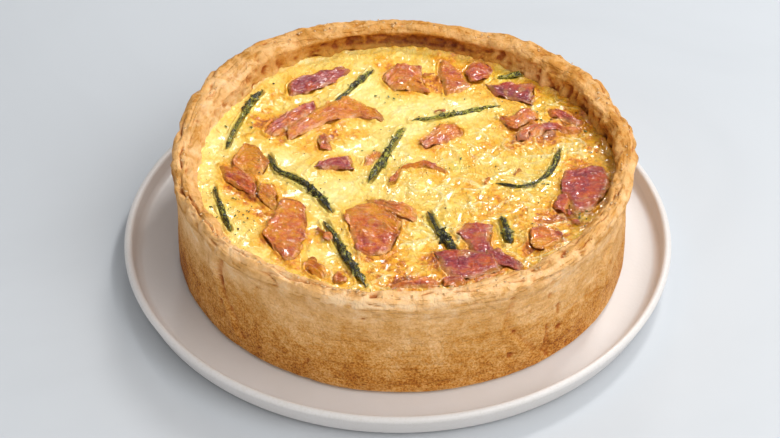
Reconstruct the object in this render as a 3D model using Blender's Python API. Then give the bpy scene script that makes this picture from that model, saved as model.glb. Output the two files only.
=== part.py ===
"""A deep quiche with dry-cured ham and asparagus, standing on its low-rimmed stoneware plate.

Blender 4.5, metres, +Z up. The origin is the middle of the plate's underside. The front is -Y.
All sizes below are in millimetres and are turned into metres as each mesh is made.
"""

import math

import bmesh
import bpy
from mathutils import Vector

MM = 0.001
GAP = 0.3  # clearance kept between pieces that touch

# Plate
PLATE_SEGMENTS = 56
PLATE_RADIUS = 140.5
PLATE_FLOOR = 6.0
CREST_RADIUS = 2.1  # rounding of the rim's crest, half the rim's thickness
CREST_LEVEL = 13.4
FOOT_OUTER, FOOT_INNER = 124.0, 110.0
FOOT_RECESS = 1.2
HEEL_RADIUS = 4.0  # rounding where the underside turns up into the side
FILLET_RADIUS = 4.5  # rounding where the floor turns up into the rim

# Crust, measured from its own underside
CRUST_SEGMENTS = 60
TIN_RADIUS = 115.0  # a 23 cm springform tin
CRUST_HEIGHT = 60.0
WAIST_RADIUS = 113.4
BASE_THICKNESS = 5.5
RIM_OVERHANG = 1.4  # how far the baked lip reaches past the tin's size, on average
RIM_INNER = 104.3
# How the pastry's edge wanders: (waves round the rim, size, phase in radians)
LIP_WANDER = ((1, 1.6, 0.2), (2, 0.6, -3.1), (3, 1.3, 0.7), (4, 0.6, -0.6), (7, 0.4, 1.9), (13, 0.3, 0.2))
TOP_WANDER = ((1, 0.8, -0.2), (3, 0.8, 1.0), (4, 0.4, -1.2), (9, 0.45, 0.5), (14, 0.35, 1.1))
INNER_WANDER = ((1, 1.2, -2.8), (2, 1.4, 1.8), (3, 1.5, 1.8), (11, 0.4, 2.0))
QUICHE_X = 2.0  # the quiche stands a little off the plate's middle

# Custard, level measured from the crust's underside
CUSTARD_LEVEL = 47.0
EDGE_RISE = 1.2
CORNER_CUT = 5.5
RING_SHARES = (0.93, 0.84, 0.74, 0.63, 0.52, 0.41, 0.30, 0.19, 0.09)

# Toppings
HAM_THICKNESS = 1.3
HAM_ACROSS, HAM_DEEP = 5, 3  # faces along and across one slice
STATIONS = 8  # sections along one asparagus spear or ham ribbon

# Slices of ham: name, four corners (x, y) going round from the quiche's middle, ripples, ripple height
HAM_SLICES = (
    ("ham_back_left_dark", ((-59, 71), (-58, 60), (-39, 67), (-27, 81)), 1, 1.2),
    ("ham_left_sunken", ((-70, 26), (-62, 43), (-48, 54), (-46, 47)), 1, 0.6),
    ("ham_left_curl", ((-42, 23), (-37, 23), (-36, 15), (-41, 14)), 1, 2.0),
    ("ham_middle_purple", ((-45, -1), (-40, 6), (-27, 8), (-25, -4)), 1, 1.0),
    ("ham_middle_fold", ((-21, 1), (-18, 10), (-15, 11), (-16, 2)), 1, 1.8),
    ("ham_far_left_flap", ((-85, 3), (-82, 12), (-71, 5), (-71, -6)), 1, 2.4),
    ("ham_far_left_red", ((-92, -2), (-90, -12), (-75, -25), (-74, -12)), 2, 1.2),
    ("ham_far_left_tail", ((-71, -13), (-73, -25), (-65, -36), (-62, -27)), 1, 1.2),
    ("ham_front_left_wide", ((-59, -29), (-47, -35), (-53, -72), (-67, -53)), 1, 1.6),
    ("ham_front_wide", ((-25, -37), (-4, -43), (-5, -63), (-21, -66)), 2, 1.3),
    ("ham_front_ribbon", ((-17, -26), (-15, -33), (6, -44), (5, -35)), 1, 1.4),
    ("ham_front_left_scrap", ((-46, -80), (-43, -73), (-37, -78), (-35, -84)), 1, 1.8),
    ("ham_front_left_knot", ((-33, -88), (-32, -83), (-27, -84), (-26, -89)), 1, 2.0),
    ("ham_front_edge", ((-7, -92), (1, -88), (15, -88), (17, -93)), 3, 0.9),
    ("ham_front_crumple", ((19, -92), (20, -88), (29, -87), (27, -92)), 2, 1.2),
    ("ham_back_orange", ((-11, 76), (-6, 86), (10, 83), (14, 62)), 1, 1.4),
    ("ham_back_pink", ((22, 92), (30, 83), (37, 70), (24, 60)), 1, 1.6),
    ("ham_back_striped", ((35, 82), (42, 90), (48, 81), (42, 73)), 2, 1.0),
    ("ham_back_right_purple", ((46, 65), (69, 68), (69, 49), (54, 55)), 1, 1.2),
    ("ham_right_swirl", ((55, 32), (51, 43), (68, 44), (66, 39)), 1, 1.6),
    ("ham_right_curl", ((58, 21), (62, 30), (73, 37), (67, 25)), 1, 1.8),
    ("ham_far_right_sliver", ((74, 46), (80, 48), (93, 34), (82, 37)), 1, 1.2),
    ("ham_middle_back", ((10, 20), (20, 34), (32, 30), (18, 13)), 1, 1.6),
    ("ham_far_right_wide", ((81, -6), (99, -5), (97, -28), (85, -37)), 1, 2.2),
    ("ham_far_right_tab", ((73, -32), (76, -25), (81, -30), (77, -37)), 1, 1.0),
    ("ham_front_right_fan", ((28, -48), (42, -47), (40, -62), (34, -63)), 3, 0.8),
    ("ham_front_right_lobe", ((17, -68), (35, -68), (39, -78), (28, -84)), 1, 1.2),
    ("ham_front_right_arm", ((39, -70), (45, -68), (56, -79), (43, -78)), 1, 1.4),
    ("ham_right_corner", ((60, -56), (68, -50), (76, -58), (67, -67)), 1, 1.8),
)

# Ribbons of ham standing on edge: name, points (x, y) along it, width, height
HAM_RIBBONS = (
    ("ham_left_arch", ((-57, 21), (-49, 31), (-39, 40), (-28, 44), (-19, 43), (-10, 38)), 9.0, 3.8),
    ("ham_right_band", ((67, 20), (75, 27), (84, 24), (91, 30)), 3.0, 2.4),
    ("ham_middle_arc", ((-5, -15), (-2, -7), (4, -2), (12, -2), (21, -7)), 2.6, 2.2),
)

# Asparagus: name, points (x, y) from cut end to tip, width at the stem, width at the tip
SPEARS = (
    ("asparagus_far_left", ((-89, 12), (-85, 32), (-79, 52), (-73, 64)), 3.0, 4.6),
    ("asparagus_back_left", ((-36, 52), (-26, 66), (-15, 84)), 3.2, 4.6),
    ("asparagus_middle_long", ((4, 38), (20, 41), (52, 50)), 2.6, 3.8),
    ("asparagus_middle_tip", ((1, 33), (-4, 18), (-9, 6), (-17, -14)), 3.2, 5.4),
    ("asparagus_left", ((-68, 10), (-62, -5), (-52, -12), (-43, -22), (-34, -38)), 3.6, 4.6),
    ("asparagus_front_left", ((-38, -43), (-32, -57), (-27, -69), (-17, -93)), 3.4, 5.2),
    ("asparagus_rim_left", ((-93, -16), (-90, -30), (-82, -53)), 2.2, 3.6),
    ("asparagus_front_right", ((12, -35), (16, -47), (20, -56), (26, -66)), 3.0, 6.0),
    ("asparagus_right", ((46, -14), (60, -17), (70, -10), (77, 2), (80, 14)), 2.6, 4.4),
    ("asparagus_right_tip", ((48, -40), (51, -61)), 4.0, 5.6),
    ("asparagus_back_right", ((51, 75), (65, 77)), 3.4, 4.2),
)
SPEAR_FLATTENING = 0.62  # a baked spear's height over the custard as a share of its width

MATERIALS = {
    "plate_glaze": ((0.72, 0.66, 0.62), 0.45),
    "pastry": ((0.62, 0.36, 0.14), 0.75),
    "custard": ((0.90, 0.62, 0.16), 0.35),
    "ham": ((0.55, 0.13, 0.09), 0.35),
    "asparagus": ((0.07, 0.11, 0.02), 0.45),
}


def clear_scene():
    for obj in list(bpy.data.objects):
        bpy.data.objects.remove(obj, do_unlink=True)


def make_material(name):
    colour, roughness = MATERIALS[name]
    material = bpy.data.materials.new(name)
    material.use_nodes = True
    shader = material.node_tree.nodes["Principled BSDF"]
    shader.inputs["Base Color"].default_value = (*colour, 1.0)
    shader.inputs["Roughness"].default_value = roughness
    shader.inputs["Metallic"].default_value = 0.0
    return material


def place(name, mesh, material, parent, location=(0.0, 0.0, 0.0)):
    """Adds a shaded object for the mesh, under its parent, at a location in millimetres."""
    mesh.materials.append(material)
    mesh.shade_smooth()
    mesh.set_sharp_from_angle(angle=math.radians(50))
    obj = bpy.data.objects.new(name, mesh)
    bpy.context.scene.collection.objects.link(obj)
    obj.parent = parent
    obj.location = Vector(location) * MM
    return obj


def finish_mesh(name, bm):
    """Turns a bmesh built in millimetres into a closed mesh in metres, with its faces outwards."""
    bmesh.ops.recalc_face_normals(bm, faces=bm.faces)
    bmesh.ops.scale(bm, vec=(MM, MM, MM), verts=bm.verts)
    mesh = bpy.data.meshes.new(name)
    bm.to_mesh(mesh)
    bm.free()
    return mesh


def arc(centre, radius, start, end, steps):
    """Points (r, z) on an arc between two angles in degrees."""
    angles = [math.radians(start + (end - start) * i / steps) for i in range(steps + 1)]
    return [(centre[0] + radius * math.cos(a), centre[1] + radius * math.sin(a)) for a in angles]


def wander(angle, waves):
    return sum(size * math.sin(count * angle + phase) for count, size, phase in waves)


# ---------------------------------------------------------------- plate


def plate_profile():
    """The plate's section (r, z), from the middle of its underside round to the middle of its floor."""
    crest_centre = (PLATE_RADIUS - CREST_RADIUS, CREST_LEVEL)
    heel_centre = (PLATE_RADIUS - 7.6, HEEL_RADIUS + 1.2)
    inner_wall = PLATE_RADIUS - 2 * CREST_RADIUS - 1.0
    fillet_centre = (inner_wall - FILLET_RADIUS, PLATE_FLOOR + FILLET_RADIUS)
    underside = [(0, FOOT_RECESS), (FOOT_INNER, FOOT_RECESS), (FOOT_INNER + 2, 0), (FOOT_OUTER, 0)]
    return (
        underside
        + arc(heel_centre, HEEL_RADIUS, -80, -12, 2)
        + arc(crest_centre, CREST_RADIUS, -5, 180, 5)
        + arc(fillet_centre, FILLET_RADIUS, 0, -90, 3)
        + [(0, PLATE_FLOOR)]
    )


def make_plate(material):
    bm = bmesh.new()
    verts = [bm.verts.new((r, 0, z)) for r, z in plate_profile()]
    edges = [bm.edges.new(pair) for pair in zip(verts, verts[1:])]
    bmesh.ops.spin(
        bm,
        geom=verts + edges,
        cent=(0, 0, 0),
        axis=(0, 0, 1),
        angle=math.tau,
        steps=PLATE_SEGMENTS,
        use_merge=True,
    )
    bmesh.ops.remove_doubles(bm, verts=bm.verts, dist=0.01)
    return place("plate", finish_mesh("plate", bm), material, None)


# ---------------------------------------------------------------- crust and custard


def inner_radius(angle):
    return RIM_INNER + wander(angle, INNER_WANDER)


def crust_section(angle):
    """The crust's section (r, z) at one angle, from its underside's edge over the rim to the cup's floor."""
    lip = TIN_RADIUS + RIM_OVERHANG + wander(angle, LIP_WANDER)
    flare = lip - WAIST_RADIUS
    top = CRUST_HEIGHT + wander(angle, TOP_WANDER)
    cup = inner_radius(angle) + GAP + 0.1
    mouth = (inner_radius(angle) + RIM_INNER) / 2 + 0.8
    return (
        (TIN_RADIUS - 2.5, 0),
        (TIN_RADIUS, 1.2),
        (TIN_RADIUS - 0.4, 12),
        (WAIST_RADIUS, 30),
        (WAIST_RADIUS + 0.1 * flare, 46),
        (lip - 0.45 * flare, 51),
        (lip, 54.5),
        (lip - 0.8, top - 1.8),
        (lip - 3.4, top),
        (mouth + 2.6, top - 0.3),
        (mouth + 0.3, top - 2.2),
        (mouth - 0.4, top - 5),
        (cup, 50.5),
        (cup, BASE_THICKNESS + CORNER_CUT),
        (cup - CORNER_CUT, BASE_THICKNESS),
    )


def custard_height(x, y):
    """The baked top's level: broad swells, and a slight rise where it meets the crust."""
    swell = 0.5 * math.sin(x / 17 + 0.6) * math.cos(y / 21) + 0.35 * math.sin((x + y) / 13)
    return CUSTARD_LEVEL + swell + EDGE_RISE * (math.hypot(x, y) / RIM_INNER) ** 6


def custard_section(angle):
    """The custard's section (r, z) at one angle: the cup's inside less a gap, then in over the top."""
    radius = inner_radius(angle)
    floor = BASE_THICKNESS + GAP
    section = [(radius - CORNER_CUT - 0.3, floor), (radius, floor + CORNER_CUT + 0.3)]
    for share in (1.0, *RING_SHARES):
        r = radius * share
        section.append((r, custard_height(r * math.cos(angle), r * math.sin(angle))))
    return section


def turned_solid(name, section_at, bottom, top):
    """A closed solid from a section that changes with the angle, with a pole (0, 0, z) at either end."""
    bm = bmesh.new()
    rings = []
    for j in range(CRUST_SEGMENTS):
        angle = math.tau * j / CRUST_SEGMENTS
        across, along = math.cos(angle), math.sin(angle)
        rings.append([bm.verts.new((r * across, r * along, z)) for r, z in section_at(angle)])
    low = bm.verts.new((0, 0, bottom))
    high = bm.verts.new((0, 0, top))
    for here, after in zip(rings, rings[1:] + rings[:1]):
        bm.faces.new((low, after[0], here[0]))
        bm.faces.new((here[-1], after[-1], high))
        for k in range(len(here) - 1):
            bm.faces.new((here[k], after[k], after[k + 1], here[k + 1]))
    return finish_mesh(name, bm)


def make_crust(material, quiche):
    mesh = turned_solid("crust", crust_section, 0, BASE_THICKNESS)
    return place("crust", mesh, material, quiche)


def make_custard(material, quiche):
    mesh = turned_solid("custard", custard_section, BASE_THICKNESS + GAP, custard_height(0, 0))
    return place("custard", mesh, material, quiche)


# ---------------------------------------------------------------- toppings


def sheet_height(u, v, ripples, ripple_height):
    """A slice's top over the custard: thin at its edges, with smooth ripples that run across it."""
    edge = min(1.0, 6 * min(u, 1 - u), 4 * min(v, 1 - v))
    ripple = 0.5 - 0.5 * math.cos(math.tau * ripples * u)
    return HAM_THICKNESS * (0.55 + 0.45 * edge) + ripple_height * ripple * edge


def make_ham_slice(name, corners, ripples, ripple_height, material, quiche):
    """A slice laid on the custard: a grid between its four corners, its underside a gap above the custard."""
    a, b, c, d = (Vector(corner) for corner in corners)
    middle = (a + b + c + d) / 4
    bm = bmesh.new()
    layers = ({}, {})
    for i in range(HAM_ACROSS + 1):
        for j in range(HAM_DEEP + 1):
            u, v = i / HAM_ACROSS, j / HAM_DEEP
            point = a.lerp(b, v).lerp(d.lerp(c, v), u)
            point = middle + (point - middle) * (1 + 0.05 * math.sin(7 * u + 5 * v + a.x))
            under = custard_height(point.x, point.y) + GAP
            over = under + sheet_height(u, v, ripples, ripple_height)
            local = point - middle
            layers[0][i, j] = bm.verts.new((local.x, local.y, under))
            layers[1][i, j] = bm.verts.new((local.x, local.y, over))
    under, over = layers
    for i in range(HAM_ACROSS):
        for j in range(HAM_DEEP):
            corners_of_face = ((i, j), (i + 1, j), (i + 1, j + 1), (i, j + 1))
            bm.faces.new([under[key] for key in reversed(corners_of_face)])
            bm.faces.new([over[key] for key in corners_of_face])
    border = [(i, 0) for i in range(HAM_ACROSS)] + [(HAM_ACROSS, j) for j in range(HAM_DEEP)]
    border += [(i, HAM_DEEP) for i in range(HAM_ACROSS, 0, -1)] + [(0, j) for j in range(HAM_DEEP, 0, -1)]
    for here, after in zip(border, border[1:] + border[:1]):
        bm.faces.new((under[here], under[after], over[after], over[here]))
    return place(name, finish_mesh(name, bm), material, quiche, (middle.x, middle.y, 0))


def curve_point(points, t):
    """A point at share t of the smooth curve through the points (Catmull-Rom, its ends held straight)."""
    spans = len(points) - 1
    k = min(int(t * spans), spans - 1)
    s = t * spans - k
    p1, p2 = Vector(points[k]), Vector(points[k + 1])
    p0 = Vector(points[k - 1]) if k > 0 else 2 * p1 - p2
    p3 = Vector(points[k + 2]) if k + 2 <= spans else 2 * p2 - p1
    return 0.5 * (
        2 * p1 + (p2 - p0) * s + (2 * p0 - 5 * p1 + 4 * p2 - p3) * s**2 + (3 * p1 - p0 - 3 * p2 + p3) * s**3
    )


def make_strand(name, points, width_at, height_at, material, quiche):
    """A domed strand laid along a curve on the custard, with a five-sided section at each station."""
    middle = curve_point(points, 0.5)
    bm = bmesh.new()
    sections = []
    for i in range(STATIONS + 1):
        t = i / STATIONS
        centre = curve_point(points, t)
        along = curve_point(points, min(1.0, t + 0.02)) - curve_point(points, max(0.0, t - 0.02))
        side = Vector((-along.y, along.x)).normalized()
        section = []
        for across, up in ((-0.5, 0), (-0.42, 0.6), (0, 1), (0.42, 0.6), (0.5, 0)):
            point = centre + side * across * width_at(t)
            level = custard_height(point.x, point.y) + GAP + up * height_at(t)
            section.append(bm.verts.new((point.x - middle.x, point.y - middle.y, level)))
        sections.append(section)
    for here, after in zip(sections, sections[1:]):
        for k in range(len(here)):
            m = (k + 1) % len(here)
            bm.faces.new((here[k], here[m], after[m], after[k]))
    bm.faces.new(sections[0])
    bm.faces.new(sections[-1])
    return place(name, finish_mesh(name, bm), material, quiche, (middle.x, middle.y, 0))


def make_ribbon(name, points, width, height, material, quiche):
    def taper(t):
        return 0.35 + 0.65 * math.sin(math.pi * (0.15 + 0.75 * t)) ** 0.5

    def width_at(t):
        return width * taper(t)

    def height_at(t):
        return height * taper(t)

    return make_strand(name, points, width_at, height_at, material, quiche)


def make_spear(name, points, stem, tip, material, quiche):
    """An asparagus spear: an even stem, a swollen bud over its last part, and a blunt point."""

    def width(t):
        bud = math.sin(math.pi * min(1.0, max(0.0, (t - 0.45) / 0.5))) if t > 0.45 else 0.0
        point = 1.0 if t < 0.9 else 1.0 - 5.5 * (t - 0.9)
        return (stem + (tip - stem) * bud) * point

    def height(t):
        return width(t) * SPEAR_FLATTENING

    return make_strand(name, points, width, height, material, quiche)


def main():
    clear_scene()
    materials = {name: make_material(name) for name in MATERIALS}
    quiche = bpy.data.objects.new("quiche_place", None)
    bpy.context.scene.collection.objects.link(quiche)
    quiche.location = Vector((QUICHE_X, 0, PLATE_FLOOR + GAP)) * MM
    make_plate(materials["plate_glaze"])
    make_crust(materials["pastry"], quiche)
    make_custard(materials["custard"], quiche)
    for slice_of_ham in HAM_SLICES:
        make_ham_slice(*slice_of_ham, materials["ham"], quiche)
    for ribbon in HAM_RIBBONS:
        make_ribbon(*ribbon, materials["ham"], quiche)
    for spear in SPEARS:
        make_spear(*spear, materials["asparagus"], quiche)
    bpy.context.view_layer.update()


main()
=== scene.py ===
"""The finished look of a deep ham and asparagus quiche on its stoneware plate.

Laid out as a Blender 4.5 add-on and run as a script. Sizes and places are in millimetres, measured in
the quiche's own coordinates: from the middle of the crust's underside, with +Z up and the front at -Y.
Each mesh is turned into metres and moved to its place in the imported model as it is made.
"""

import math

import bpy
import numpy as np
from bpy.props import FloatProperty, FloatVectorProperty, IntProperty, PointerProperty
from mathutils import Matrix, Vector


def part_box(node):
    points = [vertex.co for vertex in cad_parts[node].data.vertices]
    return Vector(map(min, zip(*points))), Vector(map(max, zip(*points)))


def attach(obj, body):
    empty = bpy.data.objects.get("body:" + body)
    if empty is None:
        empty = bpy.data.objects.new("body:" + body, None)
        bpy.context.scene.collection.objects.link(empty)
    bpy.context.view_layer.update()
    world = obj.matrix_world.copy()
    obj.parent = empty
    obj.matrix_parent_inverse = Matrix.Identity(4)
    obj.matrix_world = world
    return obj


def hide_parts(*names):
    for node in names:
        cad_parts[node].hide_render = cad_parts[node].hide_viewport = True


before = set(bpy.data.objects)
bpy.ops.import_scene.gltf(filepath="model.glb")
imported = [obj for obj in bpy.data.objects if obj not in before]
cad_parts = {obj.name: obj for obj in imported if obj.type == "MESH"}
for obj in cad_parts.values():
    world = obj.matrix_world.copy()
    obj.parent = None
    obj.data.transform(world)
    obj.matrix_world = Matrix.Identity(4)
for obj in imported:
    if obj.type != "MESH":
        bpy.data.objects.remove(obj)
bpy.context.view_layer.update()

bl_info = {
    "name": "Ham and asparagus quiche",
    "version": (1, 0, 0),
    "blender": (4, 5, 0),
    "location": "3D View > Sidebar > Quiche",
    "description": "Builds the finished surfaces of a deep quiche on its plate, around the packed model",
    "category": "Object",
}

MM = 0.001
PLATE_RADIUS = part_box("plate")[1].x / MM
QUICHE_PLACE = np.array((2.0, 0.0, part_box("crust")[0].z / MM))
CRUST_TOP = (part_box("crust")[1].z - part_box("crust")[0].z) / MM  # the highest that the rim may reach

# ---------------------------------------------------------------- sizes of the pastry and the custard

TIN_RADIUS = 115.0
RIM_OVERHANG = 1.4
WAIST_RADIUS = 113.4
CRUST_HEIGHT = 60.0
RIM_INNER = 104.3
BASE_THICKNESS = 5.5
CUSTARD_LEVEL = 47.0
EDGE_RISE = 1.2

# How the pastry's edge wanders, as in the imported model: (waves round the rim, size, phase in radians)
LIP_WANDER = ((1, 1.6, 0.2), (2, 0.6, -3.1), (3, 1.3, 0.7), (4, 0.6, -0.6), (7, 0.4, 1.9), (13, 0.3, 0.2))
TOP_WANDER = ((1, 0.8, -0.2), (3, 0.8, 1.0), (4, 0.4, -1.2), (9, 0.45, 0.5), (14, 0.35, 1.1))
INNER_WANDER = ((1, 1.2, -2.8), (2, 1.4, 1.8), (3, 1.5, 1.8), (11, 0.4, 2.0))

CRUST_TURNS = 800  # points round the crust
# Points along the crust's section, span by span, from its underside's middle to its floor's middle
CRUST_SPANS = (5, 3, 12, 18, 16, 6, 6, 6, 6, 11, 6, 6, 7, 5, 2, 2, 2)

# Slits in the rim's cut top: (angle in degrees, share of the way in across the rim, length, width, depth)
RIM_SLITS = (
    (-47, 0.55, 6, 0.9, 1.6),
    (-62, 0.30, 9, 0.5, 1.0),
    (-75, 0.45, 12, 0.5, 1.1),
    (-84, 0.60, 7, 0.5, 0.9),
    (-97, 0.40, 4, 1.2, 2.0),
    (-110, 0.55, 10, 0.6, 1.3),
    (-117, 0.35, 16, 0.8, 1.9),
    (-122, 0.60, 9, 0.5, 1.1),
    (-134, 0.40, 14, 0.6, 1.4),
    (-141, 0.62, 9, 0.9, 1.9),
    (-146, 0.35, 16, 0.6, 1.2),
    (-158, 0.50, 12, 0.6, 1.3),
    (-31, 0.40, 10, 0.5, 1.0),
    (-18, 0.55, 8, 0.5, 0.9),
    (14, 0.30, 9, 0.7, 1.2),
    (2, 0.10, 14, 0.5, 1.6),
    (10, 0.16, 18, 0.5, 1.8),
    (19, 0.06, 16, 0.5, 1.7),
    (27, 0.20, 15, 0.5, 1.6),
    (34, 0.08, 18, 0.5, 1.8),
    (44, 0.15, 14, 0.5, 1.4),
    (128, 0.30, 12, 0.6, 1.0),
    (150, 0.12, 22, 0.6, 1.5),
    (172, 0.18, 20, 0.7, 1.8),
    (184, 0.40, 16, 0.7, 1.6),
    (196, 0.22, 18, 0.8, 2.0),
    (207, 0.50, 12, 0.6, 1.5),
)

# ---------------------------------------------------------------- places on the custard

# Patches where the custard browned: (x, y, radius, strength)
BROWNED = (
    (-72, 38, 10, 0.9), (-64, 22, 8, 0.6), (-47, 16, 7, 0.5), (-34, 27, 7, 1.0), (-67, 58, 7, 0.5),
    (-76, 26, 7, 0.4), (-71, 48, 8, 0.6), (-23, 27, 6, 0.7), (-77, -24, 8, 1.0), (-60, -24, 8, 0.6),
    (-70, -39, 9, 0.7), (-64, -56, 8, 0.5), (-41, -56, 7, 0.6), (-44, -79, 8, 0.6), (-82, -18, 8, 0.8),
    (-54, -73, 8, 0.5), (-4, -75, 9, 0.8), (-1, -86, 9, 1.0), (-18, -71, 7, 0.6), (-14, -83, 8, 0.7),
    (-27, -79, 7, 0.4), (14, -71, 8, 0.8), (20, -64, 6, 0.4), (37, -85, 9, 0.7), (46, -31, 12, 0.6),
    (58, -39, 10, 0.6), (70, -41, 10, 0.9), (54, -83, 8, 0.5), (80, -43, 8, 1.0), (32, -16, 9, 0.4),
    (73, -54, 9, 0.8), (61, -66, 8, 0.6), (19, 71, 8, 1.0), (35, 7, 7, 0.5), (45, 15, 7, 0.6),
    (58, 19, 7, 0.8), (74, 22, 9, 0.9), (21, -9, 6, 0.4), (18, 10, 6, 0.4), (4, 70, 8, 0.6),
    (-8, 88, 8, 0.6), (43, 59, 6, 0.4), (88, 3, 8, 0.6), (95, 14, 8, 0.5), (13, 17, 7, 0.6),
    (50, 35, 7, 0.4), (88, -46, 7, 0.7), (24, 92, 7, 0.4),
)

# Smooth pale pools of custard with no cheese on top: (x, y, radius)
PALE_POOLS = (
    (-19, 62, 15), (-22, 14, 13), (-61, 7, 8), (-98, 18, 8), (-4, 48, 13), (-49, -24, 10), (-34, -20, 11),
    (-41, -69, 7), (11, 54, 12), (74, 68, 12), (7, 26, 11), (33, 45, 9),
    (54, 82, 12), (-30, 44, 6),
)

# Places where the asparagus tints the custard green: (x, y, radius, strength)
GREENED = (
    (27, -2, 4, 0.9), (-6, 16, 6, 0.5), (-50, -16, 6, 0.5), (-30, -62, 6, 0.4), (16, -45, 6, 0.6),
    (-84, 34, 6, 0.4), (70, -12, 6, 0.3), (58, 78, 10, 0.6), (24, 42, 5, 0.4), (-5, 57, 5, 0.5),
    (90, 25, 9, 0.4), (49, -50, 6, 0.4), (-88, -36, 5, 0.4), (88, -42, 5, 0.8), (80, 52, 10, 0.4),
)

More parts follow.
